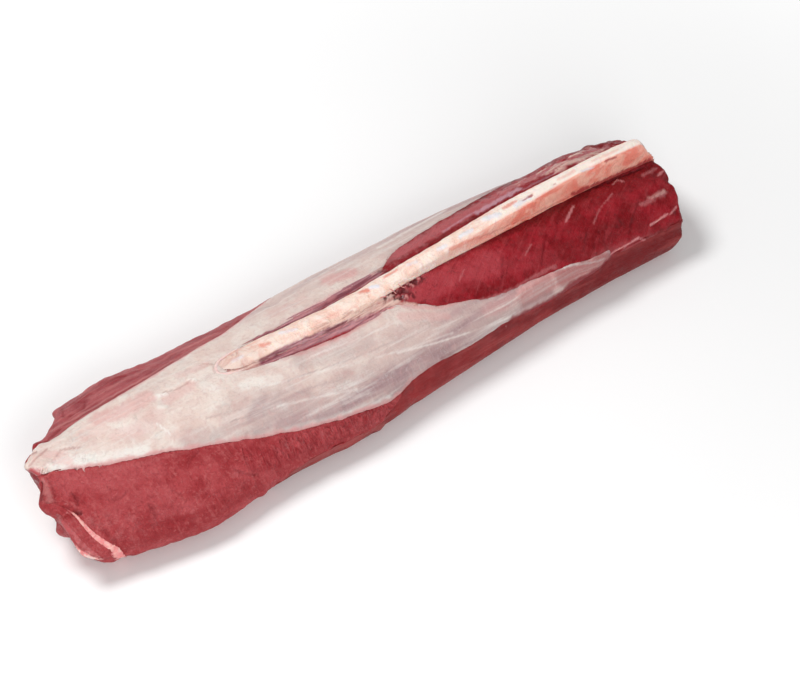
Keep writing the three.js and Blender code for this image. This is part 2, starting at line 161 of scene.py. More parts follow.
# The camera stands where the photograph was taken from
def viewAxes():
    turn = math.radians(photo["azimuth"])
    lift = math.radians(photo["elevation"])
    back = Vector((math.sin(turn) * math.cos(lift), -math.cos(turn) * math.cos(lift), math.sin(lift)))
    right = Vector((math.cos(turn), math.sin(turn), 0.0))
    return right, back.cross(right), back


viewRight, viewUp, viewBack = viewAxes()
eye = Vector(photo["aim"]) + viewBack * photo["distance"]


def placeCamera():
    data = bpy.data.cameras.new("photoCamera")
    data.lens = photo["lens"]
    data.sensor_width = photo["sensor"]
    data.clip_end = photo["farthest"]
    camera = newObject("photoCamera", data)
    camera.location = eye
    camera.rotation_euler = viewBack.to_track_quat("Z", "Y").to_euler()
    bpy.context.scene.camera = camera


placeCamera()

# The smooth outer form that all the pieces share. A pair says where a change starts and where it is full.
formSettings = {
    "swell": 0.6 * mm,
    "voxel": 2.2 * mm,
    "roundsAll": 7,
    "roundsMuscle": 26,
    "roundsEnds": 12,
    "fromEnds": (12 * mm, 36 * mm),
    "fromCrest": (9.8 * mm, 18.2 * mm),
    "crestShows": (-0.18, -0.15),
    "fromFoot": (4 * mm, 12 * mm),
    "endsFromCrest": (12 * mm, 22 * mm),
    "ridgeSpan": (-0.33, 0.345, 0.012),
    "ridgeSlice": 10 * mm,
    "ridgeCrest": 3.5 * mm,
}


def ridgeLine():
    points = pointsOf(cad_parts["backbone"].data)
    places = np.arange(*formSettings["ridgeSpan"])
    middles = []
    for place in places:
        near = points[np.abs(points[:, 0] - place) < formSettings["ridgeSlice"]]
        crest = near[near[:, 2] > near[:, 2].max() - formSettings["ridgeCrest"]]
        middles.append(0.5 * (crest[:, 1].min() + crest[:, 1].max()))
    return places, np.array(middles)


ridgePlaces, ridgeMiddles = ridgeLine()


# How far a point is to the side of the ridge
def outOf(points):
    return points[:, 1] - np.interp(points[:, 0], ridgePlaces, ridgeMiddles)


def makeForm():
    look = formSettings
    form = fineCopy(sorted(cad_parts), "outerForm", look["swell"], look["voxel"])
    points = pointsOf(form.data)
    aside = np.abs(outOf(points))
    toEnd = np.minimum(cadBox[1][0] - points[:, 0], points[:, 0] - cadBox[0][0])
    clearOfEnds = smooth(toEnd, *look["fromEnds"])
    crestBuried = 1.0 - smooth(points[:, 0], *look["crestShows"])
    clearOfCrest = np.maximum(smooth(aside, *look["fromCrest"]), crestBuried)
    muscle = clearOfEnds * clearOfCrest * smooth(points[:, 2], *look["fromFoot"])
    ends = (1.0 - clearOfEnds) * smooth(aside, *look["endsFromCrest"])
    modify(form, "SMOOTH", iterations=look["roundsAll"])
    for name, weights in (("roundsMuscle", muscle), ("roundsEnds", ends)):
        group = form.vertex_groups.new(name=name)
        for index, weight in enumerate(weights.tolist()):
            group.add([index], weight, "REPLACE")
        modify(form, "SMOOTH", iterations=look[name], vertex_group=name)
    push(form, -look["swell"])
    bakeModifiers(form)
    tree = BVHTree.FromObject(form, bpy.context.evaluated_depsgraph_get())
    bpy.data.objects.remove(form)
    return tree


formTree = makeForm()
print("outer form made")


def nearForm(points):
    places = np.empty_like(points)
    facing = np.empty_like(points)
    for index, point in enumerate(points.tolist()):
        places[index], facing[index] = formTree.find_nearest(point)[:2]
    return places, facing


# The line of the ridge in the photograph, which every place there is given along and across
lineStart = Vector(photo["ridgeStart"])
lineStep = (Vector(photo["ridgeEnd"]) - lineStart).normalized()
focal = photo["lens"] / photo["sensor"] * photo["size"][0]


# A place in the photograph found again on the meat
def onMeat(along, across):
    spot = lineStart + lineStep * along + Vector((-lineStep.y, lineStep.x)) * across
    ray = viewRight * (spot.x - photo["size"][0] / 2) - viewUp * (spot.y - photo["size"][1] / 2)
    ray -= viewBack * focal
    ray.normalize()
    place = formTree.ray_cast(eye, ray)[0]
    if place is None:
        place = formTree.find_nearest(eye + ray * photo["distance"])[0]
    return np.array(place)


def lineOnMeat(line, step=5.0):
    spots = []
    for first, second in zip(line, line[1:]):
        reach = math.hypot(second[0] - first[0], second[1] - first[1])
        count = max(1, round(reach / step))
        for index in range(count):
            share = index / count
            spots.append([low + (high - low) * share for low, high in zip(first, second)])
    spots.append(line[-1])
    return [onMeat(*spot) for spot in spots]


def distanceTo(points, line):
    best = np.full(len(points), 1.0)
    for first, second in zip(line, line[1:] or line):
        step = second - first
        share = np.clip(((points - first) @ step) / max(float(step @ step), 1e-12), 0.0, 1.0)
        best = np.minimum(best, np.linalg.norm(points - first - share[:, None] * step, axis=1))
    return best


# Soft strokes painted on the meat. Each is a line in the photograph with its half width in millimetres and
# its strength. Their edges waver: ragged says how far, as a share of the width, and grain how finely.
def brush(points, strokes, ragged=0.35, grain=5 * mm):
    mask = np.zeros(len(points))
    wobble = clouds(points, [(grain, 7.0, 0.6), (grain * 0.4, 19.0, 0.4)])
    for line, width, strength in strokes:
        reach = width * mm
        away = distanceTo(points, lineOnMeat(line)) + wobble * reach * ragged
        mask = np.maximum(mask, strength * (1.0 - smooth(away, 0.35 * reach, reach)))
    return mask


# A piece's strokes under one name, with the edges that its settings give them
def paint(points, look, name, edge=None):
    return brush(points, look[name], *look["edges"].get(edge or name, ()))


# Small pulls that shape the ragged ends: a place in the photograph, a reach in millimetres, and how far the
# meat there moves along and across the line of the ridge, in millimetres.
pulls = [
    ((-3, 3), 8, (-4.0, 0.0)),
    ((-2, 13), 5, (2.5, 0.0)),
    ((-1, 25), 5, (1.5, 0.0)),
    ((0, 39), 6, (-3.5, 0.5)),
    ((1, 50), 6, (-6.0, 0.0)),
    ((4, 61), 4, (3.0, 0.0)),
    ((7, 76), 6, (-7.0, 1.0)),
    ((10, 86), 4, (2.0, 0.0)),
    ((14, 98), 8, (-4.0, 1.5)),
    ((27, 114), 7, (0.0, 2.0)),
    ((42, 98), 20, (-6.5, 0.0)),
    ((56, 124), 12, (-3.0, 0.0)),
    ((41, 122), 6, (0.0, -3.0)),
    ((52, 125), 6, (0.0, -2.5)),
    ((14, -12), 5, (-2.5, -3.0)),
    ((24, -20), 5, (1.5, 1.5)),
    ((34, -27), 6, (4.0, 3.0)),
    ((40, -36), 6, (-3.5, -1.0)),
    ((96, -47), 5, (0.0, -0.8)),
    ((150, -48), 6, (0.0, 0.8)),
    ((207, 116), 5, (0.0, 2.0)),
    ((216, 114), 6, (0.0, -2.0)),
    ((300, 105), 8, (0.0, 1.0)),
    ((338, 102), 5, (0.0, 1.8)),
    ((348, 97), 6, (0.0, -1.8)),
    ((370, 94), 5, (0.0, 1.8)),
    ((380, 91), 6, (0.0, -1.8)),
    ((284, -57), 7, (0.0, 3.0)),
    ((440, 6), 14, (0.0, 3.0)),
    ((474, 15), 13, (0.0, 2.6)),
    ((500, 18), 16, (0.0, 3.5)),
    ((600, 22), 14, (0.0, 3.0)),
    ((600, -80), 5, (0.0, -0.8)),
    ((618, -80), 4, (0.0, 1.0)),
    ((636, -80), 5, (0.0, -3.0)),
    ((648, -77), 5, (0.0, 3.0)),
    ((666, -73), 7, (0.0, 2.5)),
    ((693, -45), 5, (-3.0, 0.0)),
    ((698, -30), 5, (2.5, 0.0)),
    ((699, -18), 4, (-2.0, 0.0)),
    ((700, -6), 5, (1.5, 0.0)),
    ((700, 6), 4, (-2.0, 0.0)),
    ((698, 18), 5, (1.0, 0.0)),
    ((694, 34), 7, (-3.0, 0.0)),
]

# The foot is pressed flat, and nothing sinks into the floor
restHeight = 0.1 * mm


def pullEnds(points):
    along = viewRight * lineStep.x - viewUp * lineStep.y
    across = -viewRight * lineStep.y - viewUp * lineStep.x
    moved = points.copy()
    for spot, reach, (stepAlong, stepAcross) in pulls:
        away = np.linalg.norm(points - onMeat(*spot), axis=1) / (2 * reach * mm)
        share = (1.0 - np.clip(away, 0.0, 1.0) ** 2) ** 2
        moved += share[:, None] * np.array(along * stepAlong * mm + across * stepAcross * mm)
    moved[:, 2] = np.maximum(moved[:, 2], restHeight)
    return moved


# Node helpers for the materials
def feed(tree, node, socket, value):
    if isinstance(value, bpy.types.NodeSocket):
        tree.links.new(value, node.inputs[socket])
    else:
        node.inputs[socket].default_value = value


def addNode(tree, kind, inputs, **settings):
    node = tree.nodes.new(kind)
    for name, value in settings.items():
        setattr(node, name, value)
    for socket, value in inputs.items():
        feed(tree, node, socket, value)
    return node.outputs


def tone(red, green, blue):
    shares = [value / 255.0 for value in (red, green, blue)]
    return [((share + 0.055) / 1.055) ** 2.4 if share > 0.04 else share / 12.92 for share in shares] + [1.0]


def mathNode(tree, operation, first, second=0.0, clamp=False):
    return addNode(tree, "ShaderNodeMath", {0: first, 1: second}, operation=operation, use_clamp=clamp)[0]


def times(tree, first, second):
    return mathNode(tree, "MULTIPLY", first, second)


def rangeNode(tree, value, low, high, newLow=0.0, newHigh=1.0):
    inputs = {"Value": value, "From Min": low, "From Max": high, "To Min": newLow, "To Max": newHigh}
    return addNode(tree, "ShaderNodeMapRange", inputs, interpolation_type="SMOOTHSTEP")[0]


def blend(tree, share, first, second):
    return addNode(tree, "ShaderNodeMix", {0: share, 6: first, 7: second}, data_type="RGBA")[2]


# Lays a tone over a colour where a mask shows, with a given strength
def glaze(tree, colour, mask, strength, over):
    return blend(tree, times(tree, mask, strength), colour, over)


def maskNode(tree, name):
    return addNode(tree, "ShaderNodeAttribute", {}, attribute_name=name)["Fac"]


# Lays the tones of a look over a colour, each where the painted mask of the same name shows
def paintMasks(tree, colour, look, *names):
    for name in names:
        colour = blend(tree, maskNode(tree, name), colour, look[name])
    return colour


def noiseNode(tree, vector, scale, detail=3.0, roughness=0.55, distortion=0.0):
    inputs = {"Vector": vector, "Scale": scale, "Detail": detail}
    inputs.update({"Roughness": roughness, "Distortion": distortion})
    return addNode(tree, "ShaderNodeTexNoise", inputs)["Fac"]


def turned(tree, vector, turn):
    return addNode(tree, "ShaderNodeMapping", {"Vector": vector, "Rotation": (0.0, 0.0, turn)})[0]


def bumpChain(tree, shader, layers):
    inputs = {"Strength": 1.0}
    for height, distance in layers:
        inputs.update({"Height": height, "Distance": distance})
        inputs["Normal"] = addNode(tree, "ShaderNodeBump", inputs)["Normal"]
    feed(tree, shader, "Normal", inputs["Normal"])


def newGroup(name, values, outputs):
    group = bpy.data.node_groups.new(name, "ShaderNodeTree")
    group.interface.new_socket("Vector", in_out="INPUT", socket_type="NodeSocketVector")
    for title, value in values.items():
        socket = group.interface.new_socket(title, in_out="INPUT", socket_type="NodeSocketFloat")
        socket.default_value = value
    for title in outputs:
        group.interface.new_socket(title, in_out="OUTPUT", socket_type="NodeSocketFloat")
    return group, group.nodes.new("NodeGroupInput").outputs, group.nodes.new("NodeGroupOutput")


def useGroup(tree, group, vector, **values):
    return addNode(tree, "ShaderNodeGroup", dict(values, Vector=vector), node_tree=group)


# Fine crumbs and pits of cut lean meat. The Pits and Cracks outputs also mark where the meats get painted
# shade
def makeCrumbGroup():
    group, given, result = newGroup("meatCrumb", {"Scale": 300.0}, ["Height", "Pits", "Cracks"])
    vector = given["Vector"]
    scale = given["Scale"]
    soft = noiseNode(group, vector, scale, 5.0, 0.62, 0.4)
    wide = noiseNode(group, vector, times(group, scale, 0.32), 3.0, 0.6)
    both = mathNode(group, "ADD", times(group, soft, 0.6), times(group, wide, 0.4))
    bent = noiseNode(group, vector, times(group, scale, 0.2), 4.0, 0.6, 1.6)
    thin = rangeNode(group, mathNode(group, "ABSOLUTE", mathNode(group, "SUBTRACT", bent, 0.5)), 0.03, 0.0)
    some = rangeNode(group, noiseNode(group, vector, 60.0, 3.0, 0.6), 0.5, 0.62)
    cracks = times(group, thin, some)
    feed(group, result, "Pits", rangeNode(group, both, 0.46, 0.36))
    feed(group, result, "Cracks", cracks)
    feed(group, result, "Height", mathNode(group, "SUBTRACT", both, times(group, cracks, 0.04)))
    return group


# Streaks that run along the first axis of the given vector
def makeStreakGroup():
    values = {"Scale": 100.0, "Stretch": 8.0, "Waver": 0.3}
    group, given, result = newGroup("fibreStreak", values, ["Height", "Lines"])
    axes = addNode(group, "ShaderNodeSeparateXYZ", {0: given["Vector"]})
    along = mathNode(group, "DIVIDE", axes[0], given["Stretch"])
    stretched = addNode(group, "ShaderNodeCombineXYZ", {0: along, 1: axes[1], 2: axes[2]})[0]
    streaks = noiseNode(group, stretched, given["Scale"], 5.0, 0.62, given["Waver"])
    feed(group, result, "Height", streaks)
    feed(group, result, "Lines", rangeNode(group, streaks, 0.5, 0.68))
    return group


# Small scattered flecks
def makeFleckGroup():
    group, given, result = newGroup("fleck", {"Scale": 150.0, "Amount": 0.3}, ["Mask"])
    bent = noiseNode(group, given["Vector"], given["Scale"], 2.0, 0.5, 1.2)
    edge = mathNode(group, "SUBTRACT", 0.78, times(group, given["Amount"], 0.3))
    feed(group, result, "Mask", rangeNode(group, bent, edge, mathNode(group, "ADD", edge, 0.08)))
    return group


crumbGroup = makeCrumbGroup()
streakGroup = makeStreakGroup()
fleckGroup = makeFleckGroup()


def newMaterial(name, constants):
    material = bpy.data.materials.new(name)
    material.use_nodes = True
    tree = material.node_tree
    shader = tree.nodes["Principled BSDF"]
    for socket, value in constants.items():
        shader.inputs[socket].default_value = value
    return material, tree, shader


def coordinate(tree, kind):
    return tree.nodes.new("ShaderNodeTexCoord").outputs[kind]


wetMeat = {
    "Subsurface Weight": 0.12,
    "Subsurface Radius": (0.005, 0.0012, 0.0008),
    "Subsurface Scale": 1.0,
    "Specular IOR Level": 0.18,
    "Coat Roughness": 0.16,
}


# Lean meat: base and deep reds in soft blotches, crumbs and cracks, streaks along the grain, painted masks,
# with painted highlights on the crumb tops and ridges and painted shade in the pits, cracks, furrows, creases
# and hollows
def makeMeat(name, look):
    material, tree, shader = newMaterial(name, wetMeat)
    place = coordinate(tree, "Object")
    surface = coordinate(tree, "UV")
    blotch = noiseNode(tree, place, look["blotchScale"], 4.0, 0.6, 0.6)
    crumb = useGroup(tree, crumbGroup, place, Scale=look["crumbScale"])
    along = turned(tree, surface, look["grainTurn"])
    grainValues = {"Scale": look["grainScale"], "Stretch": look["grainStretch"], "Waver": 0.5}
    streak = useGroup(tree, streakGroup, along, **grainValues)
    around = turned(tree, surface, look["ridgeTurn"])
    ridge = useGroup(tree, streakGroup, around, Scale=160.0, Stretch=2.2, Waver=2.2)
    slot = useGroup(tree, streakGroup, surface, Scale=190.0, Stretch=16.0, Waver=0.5)
    fleck = useGroup(tree, fleckGroup, place, Scale=look["fleckScale"], Amount=look["flecks"])
    rough = maskNode(tree, "rough")
    plum = maskNode(tree, "plum")
    tan = maskNode(tree, "tan")
    colour = blend(tree, rangeNode(tree, blotch, 0.36, 0.64), look["deep"], look["base"])
    # Rosy and deepened reds: partly the meat's own tints, partly painted light on upper faces and painted
    # shade on lower ones
    colour = paintMasks(tree, colour, look, "rosy", "deepen")
    colour = glaze(tree, colour, rough, 0.5, look["raw"])
    # Painted highlight: the tops of the crumb are lightened with the light tone; the grain lines below take
    # the same tone as paler fibres
    crumbTopHighlight = rangeNode(tree, crumb["Height"], 0.48, 0.64)
    colour = glaze(tree, colour, crumbTopHighlight, look["crumbHighlight"], look["light"])
    colour = glaze(tree, colour, streak["Lines"], look["grainLight"], look["light"])
    # Painted highlight on the ridges of the rough zone and painted shade in the furrows between them
    ribbed = times(tree, rangeNode(tree, ridge["Height"], 0.44, 0.64), rough)
    colour = glaze(tree, colour, ribbed, look["ridgeHighlight"], look["ridge"])
    furrow = times(tree, rangeNode(tree, ridge["Height"], 0.5, 0.36), rough)
    colour = glaze(tree, colour, furrow, look["furrowShade"], look["furrow"])
    # Painted shade: the pits and cracks of the crumb are darkened with the pit tone
    colour = glaze(tree, colour, crumb["Pits"], look["pitDepth"], look["pit"])
    colour = glaze(tree, colour, crumb["Cracks"], look["crackShade"], look["pit"])
    plumTone = blend(tree, rangeNode(tree, slot["Height"], 0.4, 0.6), look["plumDeep"], look["plum"])
    colour = blend(tree, plum, colour, plumTone)
    # The film mask holds pale film and strands, with painted highlights along creases and painted sheen on
    # the loin
    colour = paintMasks(tree, colour, look, "film", "lilac")
    tanTone = blend(tree, rangeNode(tree, slot["Height"], 0.38, 0.55), look["tanDeep"], look["tan"])
    colour = blend(tree, tan, colour, tanTone)
    colour = blend(tree, fleck["Mask"], colour, look["fleck"])
    # Painted shade in pits, creases, hollows and torn cavities, and the dark streaks of the far rump, are
    # laid last
    feed(tree, shader, "Base Color", paintMasks(tree, colour, look, "darkShadeAndStreak"))
    wetter = times(tree, rough, look["roughWet"])
    gloss = rangeNode(tree, crumb["Height"], 0.35, 0.65, look["roughLow"], look["roughHigh"])
    feed(tree, shader, "Roughness", mathNode(tree, "SUBTRACT", gloss, wetter))
    patches = noiseNode(tree, place, 110.0, 3.0, 0.6)
    wet = rangeNode(tree, patches, 0.47, 0.62, look["coatLow"], look["coatHigh"])
    feed(tree, shader, "Coat Weight", mathNode(tree, "ADD", wet, wetter, True))
    covered = mathNode(tree, "MAXIMUM", plum, tan)
    grain = times(tree, streak["Height"], mathNode(tree, "SUBTRACT", 1.0, covered))
    grain = mathNode(tree, "ADD", grain, times(tree, slot["Height"], covered))
    ridges = times(tree, ridge["Height"], rough)
    bumps = [(grain, look["grainBump"]), (crumb["Height"], look["crumbBump"]), (ridges, look["ridgeBump"])]
    bumpChain(tree, shader, bumps)
    return material


rumpLook = {
    "base": tone(180, 70, 74),
    "deep": tone(162, 50, 55),
    # The light tone is painted highlight on the crumb tops and the paler colour of the fibre streaks
    "light": tone(204, 110, 110),
    # The pit tone is painted shade for the pits and cracks of the crumb
    "pit": tone(112, 20, 26),
    "rosy": tone(192, 88, 92),
    "deepen": tone(146, 32, 38),
    "plum": tone(150, 84, 90),
    "plumDeep": tone(128, 60, 68),
    "film": tone(222, 160, 156),
    "tan": tone(226, 192, 180),
    "tanDeep": tone(192, 140, 132),
    "lilac": tone(202, 150, 162),
    # The ridge tone is painted highlight on the ridges of the rough zone, the furrow tone painted shade
    # between them
    "ridge": tone(212, 90, 94),
    "furrow": tone(150, 26, 34),
    "raw": tone(176, 48, 56),
    "fleck": tone(214, 140, 138),
    "darkShadeAndStreak": tone(84, 14, 22),
    "blotchScale": 38.0,
    "crumbScale": 380.0,
    "crumbHighlight": 0.42,
    "pitDepth": 0.26,
    "crackShade": 0.08,
    "grainTurn": 1.25,
    "grainScale": 240.0,
    "grainStretch": 4.0,
    "grainLight": 0.2,
    "fleckScale": 190.0,
    "flecks": 0.1,
    "roughLow": 0.46,
    "roughHigh": 0.66,
    "coatLow": 0.0,
    "coatHigh": 0.1,
    "ridgeTurn": 1.5,
    "ridgeHighlight": 0.6,
    "ridgeBump": 4 * mm,
    "furrowShade": 0.35,
    "roughWet": 0.08,
    "grainBump": 1.4 * mm,
    "crumbBump": 3.6 * mm,
}

farRumpLook = dict(
    rumpLook,
    base=tone(172, 82, 86),
    deep=tone(150, 60, 66),
    light=tone(194, 118, 116),
    crumbScale=320.0,
    crumbHighlight=0.25,
    pitDepth=0.3,
    crackShade=0.15,
    grainTurn=-0.05,
    grainScale=190.0,
    grainStretch=9.0,
    grainLight=0.5,
    grainBump=2.0 * mm,
    crumbBump=1.8 * mm,
)

loinLook = dict(
    rumpLook,
    base=tone(148, 22, 34),
    deep=tone(122, 8, 18),
    light=tone(182, 70, 76),
    pit=tone(70, 6, 12),
    rosy=tone(172, 60, 68),
    deepen=tone(108, 6, 12),
    plum=tone(188, 138, 144),
    plumDeep=tone(132, 70, 80),
    film=tone(208, 136, 138),
    fleck=tone(200, 112, 114),
    darkShadeAndStreak=tone(76, 14, 20),
    blotchScale=44.0,
    crumbScale=300.0,
    crumbHighlight=0.16,
    pitDepth=0.35,
    crackShade=0.3,
    grainTurn=-0.72,
    grainScale=150.0,
    grainStretch=7.0,
    grainLight=0.22,
    fleckScale=120.0,
    flecks=0.08,
    roughLow=0.34,
    roughHigh=0.52,
    coatLow=0.0,
    coatHigh=0.35,
    grainBump=1.7 * mm,
    crumbBump=1.7 * mm,
)

flankLook = dict(
    rumpLook,
    base=tone(142, 38, 40),
    deep=tone(126, 28, 30),
    light=tone(170, 74, 72),
    pit=tone(96, 26, 26),
    deepen=tone(112, 10, 16),
    crumbScale=240.0,
    crumbHighlight=0.2,
    pitDepth=0.2,
    crackShade=0.1,
    grainTurn=0.08,
    grainScale=110.0,
    grainStretch=9.0,
    grainLight=0.35,
    flecks=0.04,
    roughLow=0.4,
    roughHigh=0.56,
    coatHigh=0.15,
    crumbBump=1.2 * mm,
    grainBump=1.5 * mm,
)

rumpMeat = makeMeat("rumpMeat", rumpLook)
farRumpMeat = makeMeat("farRumpMeat", farRumpLook)
loinMeat = makeMeat("loinMeat", loinLook)
flankMeat = makeMeat("flankMeat", flankLook)

softTissue = {
    "Subsurface Weight": 0.2,
    "Subsurface Radius": (0.004, 0.002, 0.0012),
    "Subsurface Scale": 1.0,
    "Coat Roughness": 0.2,
}

silverskinLook = {
    "pale": tone(236, 216, 206),
    "warm": tone(226, 196, 186),
    "veil": tone(180, 142, 142),
    "veilPale": tone(206, 178, 172),
    "pearl": tone(246, 236, 228),
    "blush": tone(220, 160, 156),
    "dusk": tone(164, 132, 134),
    "strand": tone(236, 224, 218),
    "pinkish": tone(206, 160, 156),
    "line": tone(246, 236, 230),
    "wrinkle": tone(176, 120, 114),
    "bleed": tone(132, 30, 38),
    "fringe": tone(224, 146, 144),
    "meat": tone(180, 74, 78),
}


# Silverskin: pearly, streaked along the back with fine fibres, thin and pink over the muscle at its edge
def makeSilverskin():
    look = silverskinLook
    constants = {"Subsurface Radius": (0.004, 0.002, 0.0016), "Specular IOR Level": 0.4}
    material, tree, shader = newMaterial("silverskin", softTissue | constants)
    place = coordinate(tree, "Object")
    surface = coordinate(tree, "UV")
    blotch = noiseNode(tree, place, 34.0, 5.0, 0.65, 0.8)
    small = noiseNode(tree, place, 190.0, 4.0, 0.6, 0.2)
    crease = useGroup(tree, crumbGroup, place, Scale=700.0)["Cracks"]
    along = useGroup(tree, streakGroup, surface, Scale=130.0, Stretch=16.0, Waver=0.25)
    broad = useGroup(tree, streakGroup, surface, Scale=42.0, Stretch=12.0, Waver=0.3)["Height"]
    across = useGroup(tree, streakGroup, turned(tree, surface, 1.45), Scale=330.0, Stretch=6.0, Waver=0.8)
    veil = maskNode(tree, "veil")
    thin = blend(tree, rangeNode(tree, broad, 0.4, 0.6), look["veil"], look["veilPale"])
    colour = blend(tree, rangeNode(tree, blotch, 0.35, 0.65), look["warm"], look["pale"])
    colour = paintMasks(tree, blend(tree, veil, colour, thin), look, "pearl")
    # Painted shade: the lower side of the skin, where it turns down to the meat, is darkened, together with
    # grey streaks of the thin skin
    shade = rangeNode(tree, broad, 0.6, 0.42, 0.4, 1.0)
    colour = glaze(tree, colour, maskNode(tree, "dusk"), shade, look["dusk"])
    colour = paintMasks(tree, colour, look, "blush")
    colour = glaze(tree, colour, along["Lines"], rangeNode(tree, veil, 0.0, 0.7, 0.3, 0.65), look["strand"])
    colour = glaze(tree, colour, across["Lines"], rangeNode(tree, veil, 0.0, 0.8, 0.04, 0.12), look["strand"])
    colour = glaze(tree, colour, rangeNode(tree, small, 0.52, 0.68), 0.3, look["pinkish"])
    colour = glaze(tree, colour, crease, 0.25, look["strand"])
    # The wrinkle mask darkens the wrinkles with painted shade
    colour = paintMasks(tree, colour, look, "fringe", "line", "wrinkle", "bleed", "meat")
    feed(tree, shader, "Base Color", colour)
    feed(tree, shader, "Roughness", rangeNode(tree, small, 0.35, 0.65, 0.38, 0.54))
    feed(tree, shader, "Coat Weight", rangeNode(tree, small, 0.45, 0.6, 0.05, 0.2))
    bumps = [(broad, 1.6 * mm), (along["Height"], 0.9 * mm), (across["Height"], 0.25 * mm)]
    bumpChain(tree, shader, bumps + [(small, 1.1 * mm), (crease, 0.12 * mm)])
    return material


boneLook = {
    "cream": tone(242, 204, 188),
    "creamPale": tone(250, 230, 218),
    "fibre": tone(252, 240, 230),
    "flush": tone(236, 164, 146),
    "pale": tone(255, 244, 234),
    "dull": tone(232, 206, 194),
    "dullDeep": tone(212, 168, 156),
    "side": tone(253, 190, 170),
    "sideDeep": tone(244, 140, 122),
    "fleck": tone(226, 128, 112),
    "marrow": tone(206, 132, 112),
    "marrowDeep": tone(120, 34, 34),
    "blush": tone(228, 134, 116),
    "cap": tone(231, 228, 235),
    "tan": tone(230, 194, 178),
    "tanDeep": tone(188, 138, 126),
    "plum": tone(188, 138, 144),
    "plumDeep": tone(128, 66, 76),
    "blood": tone(168, 40, 44),
    "darkShadeAndStreak": tone(70, 16, 20),
}


# Bone and cartilage: cream, with pink and peach flecks, bluish caps and a salmon cut side
def makeBone():
    look = boneLook
    material, tree, shader = newMaterial("bone", softTissue | {"Specular IOR Level": 0.4})
    place = coordinate(tree, "Object")
    blotch = noiseNode(tree, place, 80.0, 4.0, 0.6, 0.8)
    small = noiseNode(tree, place, 280.0, 4.0, 0.6)
    streak = useGroup(tree, streakGroup, coordinate(tree, "UV"), Scale=210.0, Stretch=6.0, Waver=0.6)
    along = streak["Height"]
    fleck = useGroup(tree, fleckGroup, place, Scale=140.0, Amount=0.28)["Mask"]

    # Lays a tone that varies with a pattern over the colour, where the mask of the same name shows
    def mottled(colour, name, pattern, low, high):
        both = blend(tree, rangeNode(tree, pattern, low, high), look[name + "Deep"], look[name])
        return blend(tree, maskNode(tree, name), colour, both)

    colour = blend(tree, rangeNode(tree, blotch, 0.35, 0.65), look["cream"], look["creamPale"])
    colour = glaze(tree, colour, streak["Lines"], 0.35, look["fibre"])
    colour = glaze(tree, colour, rangeNode(tree, along, 0.45, 0.34), 0.35, look["flush"])
    colour = glaze(tree, colour, maskNode(tree, "pale"), 0.7, look["pale"])
    colour = mottled(colour, "dull", blotch, 0.4, 0.6)
    colour = mottled(colour, "side", along, 0.4, 0.62)
    colour = glaze(tree, colour, fleck, 0.7, look["fleck"])
    colour = mottled(colour, "marrow", small, 0.42, 0.56)
    colour = paintMasks(tree, colour, look, "blush", "cap")
    # Tan: membrane colour with painted shade on the bone's shaded side
    colour = mottled(colour, "tan", along, 0.38, 0.56)
    colour = mottled(colour, "plum", along, 0.42, 0.6)
    feed(tree, shader, "Base Color", paintMasks(tree, colour, look, "blood", "darkShadeAndStreak"))
    feed(tree, shader, "Roughness", rangeNode(tree, small, 0.35, 0.65, 0.38, 0.56))
    feed(tree, shader, "Coat Weight", rangeNode(tree, blotch, 0.4, 0.6, 0.04, 0.22))
    bumpChain(tree, shader, [(blotch, 2.0 * mm), (along, 0.9 * mm), (small, 1.0 * mm)])
    return material


fatLook = {
    "pink": tone(234, 134, 134),
    "pinkPale": tone(242, 178, 170),
    "flesh": tone(190, 82, 86),
    "fleshDeep": tone(166, 54, 58),
    "blood": tone(152, 44, 48),
    "pearl": tone(246, 230, 222),
}


# Soft fat and tendon
def makeFat():
    look = fatLook
    material, tree, shader = newMaterial("softFat", softTissue | {"Coat Weight": 0.12})
    blotch = noiseNode(tree, coordinate(tree, "Object"), 170.0, 4.0, 0.6, 0.5)
    colour = blend(tree, rangeNode(tree, blotch, 0.38, 0.62), look["pink"], look["pinkPale"])
    flesh = blend(tree, rangeNode(tree, blotch, 0.36, 0.6), look["fleshDeep"], look["flesh"])
    colour = blend(tree, maskNode(tree, "flesh"), colour, flesh)
    feed(tree, shader, "Base Color", paintMasks(tree, colour, look, "blood", "pearl"))
    feed(tree, shader, "Roughness", rangeNode(tree, blotch, 0.35, 0.65, 0.36, 0.5))
    bumpChain(tree, shader, [(blotch, 2.0 * mm)])
    return material


silverskin = makeSilverskin()
bone = makeBone()
softFat = makeFat()
print("materials made")

# The map over the surface turns about a line at this height, and the relief is a sum of slow swellings
mapSettings = {
    "height": 34 * mm,
    "radius": 70 * mm,
    "relief": [(62 * mm, 3.0, 0.9 * mm), (21 * mm, 11.0, 0.4 * mm)],
}


# A map over the surface, along the back and around it, that the fibres follow
def layMap(mesh, points):
    around = np.arctan2(outOf(points), points[:, 2] - mapSettings["height"]) * mapSettings["radius"]
    layer = mesh.uv_layers.new(name="lay")
    corners = np.empty(len(mesh.loops), dtype=np.int32)
    mesh.loops.foreach_get("vertex_index", corners)
    values = np.stack([points[corners, 0], around[corners]], axis=1)
    layer.data.foreach_set("uv", values.astype(np.float32).ravel())


# Relief shared by all the pieces, so that neighbours stay flush
def sharedRelief(points):
    return clouds(points, mapSettings["relief"])


def handOver(piece, material, node=None):
    piece.data.materials.append(material)
    if node:
        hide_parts(node)
    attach(piece, "root")
    print(piece.name, "made")


